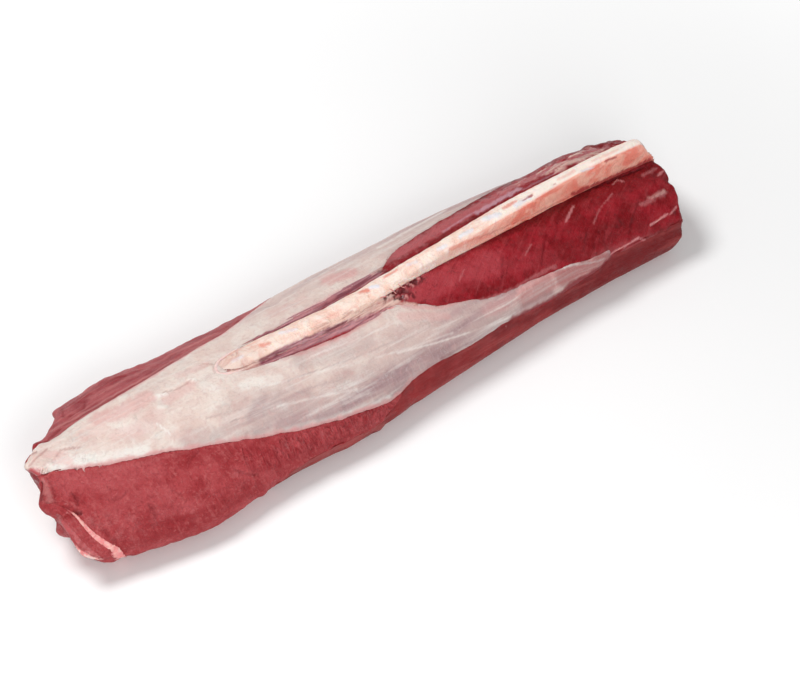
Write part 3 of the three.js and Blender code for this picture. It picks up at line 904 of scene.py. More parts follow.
skinSettings = {
    "swell": 1.5 * mm,
    "voxel": 1.5 * mm,
    "thickness": 0.9 * mm,
    "rimShare": 0.4,
    "rimReach": 6 * mm,
    "rimOver": 1.2 * mm,
    "rimLift": 0.22 * mm,
    "rimLevel": 0.45,
    "rimNear": 9 * mm,
    "rimLiftReach": (2 * mm, 10 * mm),
    "ragged": 1.3 * mm,
    "wander": [(13 * mm, 31.0, 1.0), (5 * mm, 47.0, 0.4)],
    "slotSide": (16 * mm, 26 * mm),
    "slotCalm": 0.65,
    "tornSize": 2.4 * mm,
    "underside": 1.1 * mm,
    "rippleSize": 5 * mm,
    "rippleStretch": np.array([0.25, 1.0, 1.0]),
    "ripple": 0.18 * mm,
    "bumpHeight": 0.9 * mm,
    "lineHeight": 0.35 * mm,
    "wrinkleDepth": 0.6 * mm,
    "coverLift": 0.5 * mm,
    "reliefFrom": 4 * mm,
    "bleedEdge": 3.0 * mm,
    "bleedShare": 0.1,
    "bleedWaves": [(4 * mm, 2.0, 1.2 * mm)],
    "fringeShare": 0.8,
    "fringeWaves": [(7 * mm, 9.0, 2 * mm)],
    "fringeEdge": (0.8 * mm, 4.5 * mm),
    "fringeShows": (-0.05, 0.05),
    "veilTop": 0.35,
    "veilRump": 0.25,
    "veilClouds": [(24 * mm, 6.0, 0.25)],
    "veilSide": (30 * mm, 70 * mm),
    "veilStart": (-0.3, -0.2),
    "veilAlong": (-0.22, 0.22),
    "edges": {"cover": (0.2,), "dusk": (0.6, 14 * mm), "line": (0.2,), "lineRelief": (0.1,),
              "wrinkleRelief": (0.2,), "bleed": (0.35, 8 * mm), "meat": (0.6,)},
    "torn": [([(40, 25), (64, 32)], 6, 1.0)],
    "tornReach": 8 * mm,
    "cover": [([(196, -18), (206, -16), (208, -9)], 9, 1.0)],
    "coverReach": 1.5 * mm,
    "blush": [
        ([(80, -14), (104, -12), (132, -16)], 12, 0.6),
        ([(90, 8), (112, 12)], 10, 0.35),
        ([(24, 8), (36, 14)], 6, 0.5),
        ([(150, -6), (178, -10)], 8, 0.4),
        ([(170, -24), (200, -24)], 6, 0.35),
        ([(60, -6), (80, -4)], 10, 0.25),
        ([(345, -56), (368, -55)], 11, 0.75),
        ([(352, -62), (340, -60)], 6, 0.5),
        ([(280, -46), (310, -48)], 9, 0.25),
        ([(112, 12), (135, 4)], 12, 0.2),
        ([(300, 6), (345, 7)], 8, 0.3),
        ([(400, 6), (440, 20)], 7, 0.4),
        ([(404, -5), (416, 2), (440, 9), (480, 13)], 3.6, 0.8),
        ([(18, -2), (34, 6)], 6, 0.4),
        ([(520, 30), (548, 28), (606, 28)], 13, 1.0),
        ([(484, 30), (520, 30)], 12, 0.45),
        ([(160, 36), (140, 30)], 8, 0.15),
    ],
    "pearl": [
        ([(22, 14), (60, 22)], 10, 0.8),
        ([(60, 22), (110, 34)], 9, 0.6),
        ([(100, 6), (120, 12)], 10, 0.3),
        ([(190, -6), (200, 2)], 6, 0.4),
        ([(250, 66), (300, 73), (358, 75)], 2.6, 0.7),
        ([(130, 42), (160, 50)], 2.4, 0.5),
        ([(236, 34), (256, 44)], 6, 0.5),
        ([(228, 10), (262, 16)], 7, 0.4),
        ([(404, -67), (440, -72), (478, -76)], 4, 0.5),
    ],
    "bumps": [
        ([(143, -13), (152, -11)], 3.5, 0.9),
        ([(178, -16), (184, -14)], 2.5, 0.8),
        ([(140, -2), (146, 0)], 3, 0.6),
    ],
    # Darker lilac-grey: painted shade on the lower side of the skin, and thin grey streaks along it
    "dusk": [
        ([(160, 40), (200, 50), (240, 58)], 15, 0.35),
        ([(230, 46), (300, 58), (350, 66)], 26, 0.75),
        ([(316, 62), (350, 64), (380, 58)], 20, 1.0),
        ([(330, 56), (380, 56), (420, 54)], 22, 0.7),
        ([(420, 50), (480, 46), (540, 40)], 16, 1.0),
        ([(440, 34), (500, 32), (540, 32)], 14, 0.6),
        ([(430, 56), (480, 52), (548, 46)], 9, 1.0),
        ([(290, 8), (350, 16)], 16, 0.35),
        ([(200, 38), (260, 44), (320, 50)], 1.2, 0.7),
        ([(230, 47), (300, 55), (360, 60)], 1.4, 0.7),
        ([(300, 40), (360, 45), (420, 48)], 1.2, 0.7),
        ([(250, 34), (330, 41)], 1.1, 0.6),
        ([(340, 63), (400, 61)], 1.6, 0.8),
        ([(270, 22), (340, 26), (400, 26)], 1.2, 0.5),
        ([(180, 26), (240, 34)], 1.2, 0.4),
        ([(250, -52), (300, -58), (345, -66)], 6, 0.4),
        ([(200, 30), (250, 30)], 14, 0.2),
    ],
    "line": [
        ([(382, 38), (420, 43), (456, 46)], 1.1, 0.5),
        ([(456, 46), (500, 47)], 1.0, 0.2),
        ([(240, 18), (290, 24), (330, 30)], 1.2, 0.3),
        ([(300, 8), (350, 10), (395, 9)], 1.2, 0.3),
        ([(360, 34), (395, 38), (440, 40)], 1.2, 0.3),
        ([(132, 12), (138, 22), (141, 28)], 1.2, 0.6),
        ([(250, 42), (300, 50), (330, 56)], 1.6, 0.3),
        ([(560, 20.5), (590, 24), (608, 26)], 1.4, 0.8),
    ],
    # Wrinkles: sunk into the skin and darkened with painted shade
    "wrinkle": [
        ([(33, 0), (42, 2), (52, 5)], 1.5, 0.6),
        ([(150, -14), (166, -12), (180, -15)], 1.3, 0.5),
        ([(26, 4), (34, 0)], 1.4, 0.4),
        ([(48, 14), (54, 20)], 1.2, 0.25),
        ([(196, -26), (206, -22), (204, -12)], 1.3, 0.35),
        ([(2, 3), (9, -2), (20, -6)], 1.6, 0.6),
    ],
    "meat": [
        ([(-6, 9), (-1, 10), (5, 18)], 5.0, 1.0),
        ([(-4, 16), (2, 20), (8, 22)], 4.5, 1.0),
        ([(1, 8), (6, 12)], 2.6, 0.8),
    ],
    "bleed": [
        ([(2, -6), (10, -7)], 1.8, 0.6),
        ([(420, 60), (480, 56), (545, 49)], 3.2, 0.35),
        ([(500, 52), (556, 47), (600, 41)], 9, 1.0),
        ([(552, 47), (566, 42), (584, 38), (604, 34), (620, 29)], 9, 1.0),
        ([(606, 24), (616, 26)], 3, 0.6),
        ([(520, 36), (548, 33)], 12, 0.42),
        ([(562, 31), (606, 28)], 12, 0.58),
    ],
}


# The points of the rim, and for each point how far it is from them and which way is out
def findRim(points, normals, facing, level):
    rim = np.flatnonzero(np.abs(level) < skinSettings["rimLevel"])
    rimTree = KDTree(len(rim))
    for index, point in zip(rim.tolist(), points[rim].tolist()):
        rimTree.insert(point, index)
    rimTree.balance()
    nearest = [rimTree.find(point) for point in points.tolist()]
    inward = np.array([found[2] for found in nearest])
    outward = (normals - facing * level[:, None])[[found[1] for found in nearest]]
    outward -= facing * dots(outward, facing)[:, None]
    outward /= np.maximum(np.linalg.norm(outward, axis=1), 0.2)[:, None]
    return rimTree, inward, outward


def makeSkin():
    look = skinSettings
    piece = fineCopy(["silverskin"], "silverskin_sheet", look["swell"], look["voxel"])
    mesh = piece.data
    points = pointsOf(mesh)
    normals = normalsOf(mesh)
    places, facing = nearForm(points)
    rise = dots(points - places, facing)
    rimTree, inward, outward = findRim(places, normals, facing, dots(normals, facing))
    # The edge reaches a little over the meat beside it and wanders
    slotSide = 1.0 - smooth(np.abs(outOf(points)), *look["slotSide"])
    calm = 1.0 - look["slotCalm"] * slotSide
    reach = look["rimOver"] + look["ragged"] * clouds(points, look["wander"]) * calm
    teeth = np.maximum(cloud(points, look["tornSize"], 61.0), 0.0)
    reach += teeth * paint(points, look, "torn") * look["tornReach"]
    cover = paint(points, look, "cover")
    reach += cover * look["coverReach"]
    near = 1.0 - smooth(inward, 0.0, look["rimNear"])
    points = points + outward * (near * reach)[:, None]
    places, facing = nearForm(points)
    full = rise.max() + look["underside"]
    share = np.clip((rise + full) / (rise.max() + full), 0.0, 1.0)
    thin = smooth(inward, 0.0, look["rimReach"]) * (1 - look["rimShare"]) + look["rimShare"]
    relief = look["ripple"] * cloud(places * look["rippleStretch"], look["rippleSize"], 23.0)
    relief += look["bumpHeight"] * paint(places, look, "bumps")
    relief += look["lineHeight"] * paint(places, look, "line", "lineRelief")
    relief -= look["wrinkleDepth"] * paint(places, look, "wrinkle", "wrinkleRelief")
    height = (share - 1.0) * thin * look["thickness"] + sharedRelief(places) + cover * look["coverLift"]
    height += look["rimLift"] * (1.0 - smooth(inward, *look["rimLiftReach"]))
    height += relief * smooth(inward, 0.0, look["reliefFrom"])
    movePoints(mesh, pullEnds(places + facing * height[:, None]))
    masks = {name: paint(places, look, name) for name in ("blush", "dusk", "line", "wrinkle", "meat")}
    masks["pearl"] = np.maximum(paint(places, look, "pearl"), paint(places, look, "bumps"))
    edge = 1.0 - smooth(inward + clouds(places, look["bleedWaves"]), 0.0, look["bleedEdge"])
    masks["bleed"] = np.maximum(paint(places, look, "bleed"), look["bleedShare"] * edge)
    pink = 1.0 - smooth(inward + clouds(places, look["fringeWaves"]), *look["fringeEdge"])
    rumpSide = 1.0 - smooth(places[:, 0], *look["fringeShows"])
    masks["fringe"] = look["fringeShare"] * pink * (1.0 - slotSide) * rumpSide
    low = smooth(np.abs(outOf(places)), *look["veilSide"])
    veil = smooth(places[:, 0], *look["veilAlong"]) * (look["veilTop"] + (1 - look["veilTop"]) * low)
    veil += look["veilRump"] * low * smooth(places[:, 0], *look["veilStart"])
    masks["veil"] = veil + clouds(places, look["veilClouds"])
    for name, values in masks.items():
        storeMask(mesh, name, values)
    layMap(mesh, places)
    handOver(piece, silverskin, "silverskin")
    return rimTree


def treeOf(name):
    model = bmesh.new()
    model.from_mesh(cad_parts[name].data)
    tree = BVHTree.FromBMesh(model)
    model.free()
    return tree


skinRim = makeSkin()
skinTree = treeOf("silverskin")

# How the pieces lie on the outer form and under the silverskin
dressSettings = {
    "swell": 0.45 * mm,
    "softRounds": 2,
    "onForm": (2.2 * mm, 4.0 * mm),
    "facesOut": (0.1, 0.6),
    "skinAbove": 2.2 * mm,
    "skinDepth": 1.5 * mm,
    "skinStart": 0.6 * mm,
    "skinFull": 5 * mm,
    "bare": 0.9 * mm,
    "calmRim": (1.5 * mm, 6 * mm),
    "dentSize": 12 * mm,
    "ribEnd": (0.32, 0.335),
    "rumpEnd": (-0.335, -0.318),
    "lumps": [(19 * mm, 0.0, 2.4 * mm), (8 * mm, 3.0, 1.6 * mm), (3.5 * mm, 6.0, 0.7 * mm)],
}


def toRim(points):
    return np.array([skinRim.find(point)[2] for point in points.tolist()])


# How deep a muscle's surface lies below the outer form, because the silverskin covers it
def depthUnderSkin(points):
    look = dressSettings
    covered = [skinTree.find_nearest(point, look["skinAbove"])[0] is not None for point in points.tolist()]
    inward = np.clip((toRim(points) - look["skinStart"]) / look["skinFull"], 0.0, 1.0)
    return look["skinDepth"] * inward * np.array(covered)


# Lays a finer copy of a node on the outer form and gives it its relief
def dress(name, look):
    shared = dressSettings
    piece = fineCopy([name], name + "_meat", look.get("swell", shared["swell"]), look["voxel"])
    modify(piece, "SMOOTH", iterations=shared["softRounds"])
    bakeModifiers(piece)
    points = pointsOf(piece.data)
    places, facing = nearForm(points)
    onForm = 1.0 - smooth(np.linalg.norm(points - places, axis=1), *shared["onForm"])
    outside = onForm * smooth(dots(normalsOf(piece.data), facing), *shared["facesOut"])
    depth = depthUnderSkin(points)
    bare = 1.0 - smooth(depth, 0.0, shared["bare"])
    relief = look["crumb"] * cloud(places, look["crumbSize"], 13.0)
    relief += look["grain"] * cloud(places @ look["grainFrame"], 1.0, 29.0)
    relief += look.get("dents", 0.0) * cloud(places, shared["dentSize"], 17.0)
    calm = bare * smooth(toRim(places), *shared["calmRim"])
    height = sharedRelief(places) - depth + look.get("lift", 0.0) + calm * relief
    goal = places + facing * height[:, None]
    points = points + (goal - points) * outside[:, None]
    ends = smooth(points[:, 0], *shared["ribEnd"]) + 1.0 - smooth(points[:, 0], *shared["rumpEnd"])
    shown = outside * bare
    return SimpleNamespace(node=name, piece=piece, points=points, places=places, facing=facing,
                           outside=outside, shown=shown, ends=ends * outside)


# Lumps of the cut muscle at both ends
def lumps(part, seed):
    layers = [(size, seed + step, amount) for size, step, amount in dressSettings["lumps"]]
    return clouds(part.points, layers) * part.ends


def grainFrame(turn, along, across):
    cosine = math.cos(turn)
    sine = math.sin(turn)
    return np.array([[cosine, -sine, 0], [sine, cosine, 0], [0, 0, 1.0]]) / np.array([along, across, across])


meatMasks = ("rough", "rosy", "deepen", "plum", "film", "lilac", "tan", "flesh", "darkShadeAndStreak")


def finishPiece(part, shift, material, masks):
    mesh = part.piece.data
    movePoints(mesh, pullEnds(part.points + part.facing * shift[:, None]))
    for name in meatMasks:
        storeMask(mesh, name, masks.pop(name, np.zeros(len(mesh.vertices))))
    for name, values in masks.items():
        storeMask(mesh, name, values)
    layMap(mesh, pointsOf(mesh))
    handOver(part.piece, material, part.node)


rumpSettings = {
    "voxel": 1.7 * mm,
    "crumb": 0.4 * mm,
    "crumbSize": 5 * mm,
    "grain": 0.25 * mm,
    "grainFrame": grainFrame(1.3, 20 * mm, 4 * mm),
    "edges": {"pits": (0.8, 3 * mm), "creases": (0.8, 4 * mm), "rough": (0.6, 10 * mm),
              "deepen": (0.5, 12 * mm), "film": (0.8,), "rosy": (0.8, 12 * mm)},
    "pitDepth": 1.2 * mm,
    "creaseDepth": 1.9 * mm,
    # Creases and pits: sunk into the meat, and darkened with painted shade
    "creases": [
        ([(-4, 60), (8, 62), (22, 64), (29, 66)], 2.4, 1.0),
        ([(2, 24), (0, 34), (3, 46)], 2.0, 0.9),
        ([(10, 22), (11, 34), (9, 46)], 1.6, 0.5),
        ([(3, 46), (8, 50), (4, 56)], 1.8, 0.6),
        ([(12, 56), (20, 58)], 1.6, 0.4),
        ([(26, 44), (30, 50), (28, 58)], 1.8, 0.7),
        ([(62, 66), (72, 68), (80, 64)], 1.6, 0.3),
        ([(94, 84), (97, 92), (95, 100)], 1.8, 0.4),
        ([(122, 80), (126, 86), (130, 96)], 1.8, 0.4),
        ([(186, 84), (194, 92), (206, 98)], 1.8, 0.5),
        ([(146, 60), (160, 54)], 1.4, 0.3),
    ],
    "pits": [
        ([(28, 47), (30, 52)], 2.2, 0.6),
        ([(6, 63), (18, 65), (29, 67)], 2.2, 1.0),
        ([(50, 92), (54, 108)], 2.4, 0.4),
        ([(94, 86), (96, 98)], 3.0, 0.25),
        ([(40, 76), (42, 84)], 2.0, 0.3),
    ],
    # Deeper red: the rough zone's own darker red, and painted shade along the bottom where the meat turns
    # under
    "deepen": [
        ([(215, 80), (260, 92), (340, 88)], 20, 0.6),
        ([(60, 112), (140, 118), (200, 108)], 14, 0.55),
        ([(140, 56), (190, 66)], 10, 0.35),
        ([(250, 92), (300, 94), (348, 90)], 14, 0.6),
    ],
    "film": [
        ([(5, 22), (6, 44)], 3.5, 0.3),
        ([(60, 34), (100, 43), (150, 50)], 2.0, 0.06),
    ],
    # Pinker, lighter patches of the rump, partly painted light on its upper part
    "rosy": [
        ([(20, 30), (60, 44), (110, 56)], 14, 0.5),
        ([(60, 70), (110, 78)], 14, 0.4),
        ([(100, 96), (130, 100)], 9, 0.4),
        ([(186, 88), (206, 92)], 8, 0.5),
    ],
    "ridge": 0.8 * mm,
    "ridgeWave": 1.5 * mm,
    "ridgeWaveSize": 7 * mm,
    "ridgeFrame": np.array([1 / (3.6 * mm), 1 / (10 * mm), 1 / (10 * mm)]),
    "dents": 0.9 * mm,
    "rough": [
        ([(206, 84), (250, 88)], 17, 0.7),
        ([(240, 84), (290, 89)], 15, 1.0),
        ([(280, 88), (345, 88)], 13, 1.0),
        ([(150, 104), (200, 100)], 12, 0.35),
    ],
}


def makeNearRump():
    look = rumpSettings
    part = dress("rump_near", look)
    places = part.places
    pits = paint(places, look, "pits") * part.outside
    creases = paint(places, look, "creases") * part.outside
    ribbed = paint(places, look, "rough")
    wave = look["ridgeWave"] * cloud(places, look["ridgeWaveSize"], 4.0)
    ridge = cloud((places + wave[:, None]) * look["ridgeFrame"], 1.0, 15.0) * ribbed * look["ridge"]
    cuts = pits * look["pitDepth"] + creases * look["creaseDepth"] + lumps(part, 41.0)
    masks = {
        # Painted shade in the pits and creases
        "darkShadeAndStreak": np.maximum(pits * 0.6, creases * 0.5),
        "deepen": paint(places, look, "deepen"),
        "film": paint(places, look, "film") * part.outside,
        "rosy": paint(places, look, "rosy"),
        "rough": ribbed,
    }
    finishPiece(part, ridge * part.outside - cuts, rumpMeat, masks)


makeNearRump()

farRumpSettings = {
    "voxel": 1.7 * mm,
    "crumb": 0.4 * mm,
    "crumbSize": 5 * mm,
    "grain": 0.25 * mm,
    "dents": 0.9 * mm,
    "grainFrame": grainFrame(0.05, 30 * mm, 4 * mm),
    "edges": {"streak": (0.4,)},
    "streakDepth": 0.5 * mm,
    "streak": [
        ([(5, -11), (22, -13), (40, -19)], 2.6, 0.7),
        ([(46, -21), (100, -28), (160, -37), (246, -52)], 2.2, 0.75),
        ([(48, -29), (50, -37), (66, -38), (74, -35), (70, -29), (56, -27), (48, -29)], 1.5, 0.7),
        ([(95, -43), (110, -45), (120, -43)], 2.4, 0.6),
        ([(160, -43), (178, -45)], 2.0, 0.6),
    ],
    "haze": [
        ([(30, -21), (60, -24), (110, -31), (170, -39), (240, -51)], 2.4, 0.3),
        ([(80, -37), (160, -44), (220, -49)], 4.0, 0.15),
        ([(24, -22), (30, -28), (36, -36)], 2.2, 0.9),
    ],
}


def makeFarRump():
    look = farRumpSettings
    part = dress("rump_far", look)
    streak = paint(part.places, look, "streak")
    masks = {
        "darkShadeAndStreak": streak * 0.3,
        "deepen": streak * 0.6,
        "film": paint(part.places, look, "haze") * part.outside,
    }
    finishPiece(part, -(streak * look["streakDepth"] + lumps(part, 43.0)), farRumpMeat, masks)


makeFarRump()

loinSettings = {
    "voxel": 1.7 * mm,
    "crumb": 0.22 * mm,
    "crumbSize": 4 * mm,
    "grain": 0.5 * mm,
    "grainFrame": grainFrame(-0.75, 26 * mm, 4.5 * mm),
    "dents": 0.5 * mm,
    "edges": {"hollow": (0.8, 4 * mm), "plum": (0.3,), "tan": (0.5, 4 * mm), "film": (0.9, 6 * mm),
              "threads": (0.5,), "torn": (0.6, 4 * mm), "suet": (0.8, 6 * mm), "folds": (1.0, 7 * mm),
              "lilac": (0.7,), "rosy": (0.7, 14 * mm), "deepen": (0.5, 12 * mm)},
    "tornLumps": [(3.2 * mm, 51.0, 1.0), (1.6 * mm, 8.0, 0.4)],
    "suetSize": 6 * mm,
    "suetLumps": [(3 * mm, 77.0, 0.5)],
    "suetStretch": np.array([0.35, 1.0, 1.0]),
    "creaseStep": (3, 1),
    "furrowStretch": np.array([0.12, 1.0, 1.0]),
    "furrowSize": 2.2 * mm,
    "heights": {
        "tan": 0.6 * mm,
        "plum": 0.4 * mm,
        "hollow": -1.8 * mm,
        "film": 0.5 * mm,
        "furrow": 0.5 * mm,
        "torn": 2.4 * mm,
        "suet": 1.6 * mm,
        "fold": 0.5 * mm,
        "crease": -0.7 * mm,
    },
    "torn": [
        ([(392, -20), (410, -20), (428, -24)], 8.0, 1.0),
        ([(402, -14), (416, -11)], 6.0, 1.0),
        ([(426, -25), (446, -31)], 4.0, 0.9),
        ([(404, -26), (424, -27), (444, -30)], 3.0, 0.9),
        ([(396, -44), (408, -41), (424, -44)], 2.4, 0.7),
        ([(470, -31), (500, -33)], 2.6, 0.6),
    ],
    "suet": [
        ([(560, -73), (596, -76), (640, -78)], 9.0, 1.0),
        ([(590, -70), (640, -72), (690, -70)], 6.0, 1.0),
        ([(666, -8), (690, -12)], 3.5, 0.4),
    ],
    "lilac": [
        ([(508, -62), (530, -65), (556, -68)], 4.5, 0.9),
        ([(470, -57), (505, -63)], 2.0, 0.6),
        ([(560, -66), (600, -69)], 2.0, 0.4),
    ],
    # Hollows: sunk into the meat, and darkened with painted shade
    "hollow": [
        ([(398, -23), (404, -20)], 3.0, 0.9),
        ([(406, -19), (414, -15)], 3.4, 0.9),
        ([(404, -12), (409, -9)], 1.8, 0.7),
        ([(400, -26), (412, -27), (424, -28)], 4.2, 0.9),
        ([(420, -28), (440, -31)], 3.0, 0.9),
        ([(440, -31), (480, -33), (540, -38), (600, -41), (680, -41)], 1.6, 0.8),
        ([(360, -20), (372, -20)], 1.8, 0.8),
        ([(396, -24), (380, -24)], 1.4, 0.7),
        ([(262, -31), (304, -35)], 0.8, 0.35),
        ([(304, -37), (352, -43)], 0.8, 0.35),
        ([(286, -2), (334, -3)], 0.8, 0.35),
        ([(326, -6), (382, -6)], 0.8, 0.4),
        ([(252, -6), (290, -8)], 0.8, 0.35),
        ([(395, -46), (404, -42), (420, -43), (440, -47)], 1.6, 0.6),
    ],
    "plum": [
        ([(246, -5), (280, -5), (340, -6), (390, -5)], 7.0, 1.0),
        ([(250, -29), (290, -32), (330, -36), (360, -40), (392, -44)], 8.0, 1.0),
    ],
    "tan": [
        ([(345, -15), (370, -13), (400, -10)], 6.5, 1.0),
        ([(365, -18), (398, -17)], 4.0, 0.8),
        ([(320, -12), (345, -12)], 2.0, 0.4),
        ([(202, -22), (203, -12), (212, -6), (244, -4)], 7.0, 1.0),
        ([(204, -22), (226, -27), (246, -28)], 5.0, 1.0),
        ([(396, -8), (408, -4), (416, 1)], 4.0, 0.9),
        ([(388, -45), (398, -47)], 2.4, 0.6),
        ([(604, -73), (640, -73)], 4.0, 0.8),
    ],
    "threads": [
        ([(256, -5), (300, -6), (350, -7), (386, -7)], 0.7, 0.7),
        ([(262, -2), (300, -3), (350, -4), (380, -5)], 0.7, 0.6),
        ([(292, -7), (340, -8)], 0.6, 0.6),
        ([(262, -28), (300, -32), (340, -37), (366, -41)], 0.7, 0.6),
        ([(256, -29), (268, -31)], 1.2, 0.5),
    ],
    # Pinker, lighter meat: painted light on the upper eye meat by the bone and painted pinkish sheen on the
    # far side
    "rosy": [
        ([(414, -14), (440, -14), (500, -12)], 20, 0.75),
        ([(500, -4), (560, 8)], 12, 0.3),
        ([(420, -52), (470, -60), (540, -70)], 10, 0.8),
        ([(560, -74), (640, -76)], 10, 0.6),
    ],
    # Pale film and strands, with painted highlights along the diagonal creases of the eye meat and painted
    # pinkish sheen in the broad patches on the far side
    "film": [
        ([(430, 12), (470, 17), (520, 20), (560, 17)], 2.6, 0.3),
        ([(440, -29), (500, -33)], 2.6, 0.35),
        ([(296, -33), (330, -36), (346, -38)], 3.0, 0.4),
        ([(587, -20), (600, -32)], 1.6, 0.6),
        ([(612, -8), (624, -20), (640, -28)], 1.2, 0.3),
        ([(644, -36), (650, -39), (655, -35)], 1.2, 0.8),
        ([(664, 15), (674, 13), (684, 11)], 1.4, 0.9),
        ([(616, 26), (630, 25), (642, 23), (648, 22), (653, 27)], 1.2, 0.9),
        ([(686, 12), (695, 8)], 1.6, 0.7),
        ([(690, -28), (696, -30)], 1.4, 0.6),
        ([(536, -4), (546, -12)], 1.0, 0.3),
        ([(466, -6), (474, -14)], 1.0, 0.25),
        ([(664, -7), (690, -10)], 4, 0.35),
        ([(676, -34), (690, -36)], 3, 0.35),
        ([(540, -71), (600, -75), (650, -75)], 9, 0.5),
        ([(410, -52), (470, -62), (540, -70)], 11, 0.34),
        ([(600, 22), (660, 28)], 8, 0.12),
        ([(406, -52), (430, -57)], 5, 0.2),
    ],
    "folds": [
        ([(498, 12), (506, 2), (512, -10)], 2.6, 0.8),
        ([(546, 10), (552, -2), (562, -18)], 2.2, 0.8),
        ([(566, -8), (574, -18), (578, -26)], 1.6, 0.8),
        ([(590, 10), (598, 0), (602, -6)], 2.4, 0.8),
        ([(612, 14), (618, 2), (628, -14)], 1.8, 0.8),
        ([(640, 12), (650, -2), (664, -18)], 2.4, 0.8),
        ([(668, 2), (676, -10)], 1.6, 0.8),
    ],
    # Deeper red: painted shade on the lower, steeper meat of the rib end and beside the bone
    "deepen": [
        ([(580, -30), (640, -30), (690, -30)], 12, 0.5),
        ([(580, 8), (650, 6)], 14, 0.45),
        ([(620, 38), (690, 30)], 14, 0.8),
        ([(500, -30), (560, -34)], 7, 0.4),
        ([(410, -48), (460, -53), (520, -60)], 3, 0.5),
    ],
}


def moved(line, along, across):
    return [(place[0] + along, place[1] + across) for place in line]


def makeLoin(name):
    look = loinSettings
    part = dress(name, look)
    places = part.places
    layers = ("hollow", "plum", "tan", "film", "threads", "torn", "suet", "folds", "lilac", "rosy")
    seen = {layer: paint(places, look, layer) * part.shown for layer in layers}
    plum = seen["plum"]
    torn = seen["torn"]
    suet = seen["suet"]
    film = np.maximum(seen["film"], seen["threads"])
    beside = [(moved(line, *look["creaseStep"]), width, share) for line, width, share in look["folds"]]
    crease = brush(places, beside, *look["edges"]["folds"]) * part.shown * (1.0 - seen["folds"])
    chop = clouds(places, look["tornLumps"])
    lump = cloud(places * look["suetStretch"], look["suetSize"], 71.0) + clouds(places, look["suetLumps"])
    furrow = cloud(places * look["furrowStretch"], look["furrowSize"], 3.0)
    heights = {
        "tan": seen["tan"],
        "plum": plum,
        "hollow": seen["hollow"],
        "film": film,
        "furrow": furrow * np.maximum(plum, seen["tan"]),
        "torn": torn * chop,
        "suet": suet * lump,
        "fold": seen["folds"],
        "crease": crease,
    }
    shift = lumps(part, 37.0) + sum(values * look["heights"][layer] for layer, values in heights.items())
    raised = np.maximum(suet * smooth(lump, 0.05, 0.4), torn * smooth(chop, 0.2, 0.45) * 0.4)
    milky = np.maximum(suet * smooth(lump, -0.3, 0.1) * 0.6, torn * smooth(chop, 0.0, 0.3) * 0.3)
    # Painted shade in the hollows, beside the folds and in the cavities of the torn tissue
    shadow = np.maximum(seen["hollow"] * 0.8, crease * 0.12)
    masks = {
        "darkShadeAndStreak": np.maximum(shadow, torn * smooth(-chop, -0.12, 0.1) * 0.85),
        "plum": plum,
        "lilac": seen["lilac"],
        "tan": np.maximum(seen["tan"], raised),
        "rosy": seen["rosy"],
        "film": np.maximum(film, milky),
        "deepen": paint(places, look, "deepen") * part.outside,
    }
    finishPiece(part, shift, loinMeat, masks)


makeLoin("loin_near")
makeLoin("loin_far")

flankSettings = {
    "voxel": 1.7 * mm,
    "crumb": 0.12 * mm,
    "crumbSize": 6 * mm,
    "grain": 0.3 * mm,
    "grainFrame": grainFrame(0.05, 40 * mm, 6 * mm),
    "edges": {"deepen": (0.6, 10 * mm)},
    # Painted shade: the flank at the rib end is darkened to the red of the eye meat in shade
    "deepen": [
        ([(480, 56), (520, 54), (560, 50)], 8, 0.8),
        ([(420, 66), (480, 60)], 5, 0.3),
        ([(560, 46), (620, 42), (700, 34)], 30, 1.0),
    ],
    "film": [
        ([(214, 112), (250, 107), (300, 102), (340, 99)], 5, 0.12),
        ([(345, 90), (356, 84)], 3, 0.2),
    ],
}


def makeFlank(name):
    part = dress(name, flankSettings)
    masks = {mask: paint(part.places, flankSettings, mask) for mask in ("deepen", "film")}
    finishPiece(part, lumps(part, 33.0), flankMeat, masks)


makeFlank("flank_near")
makeFlank("flank_far")

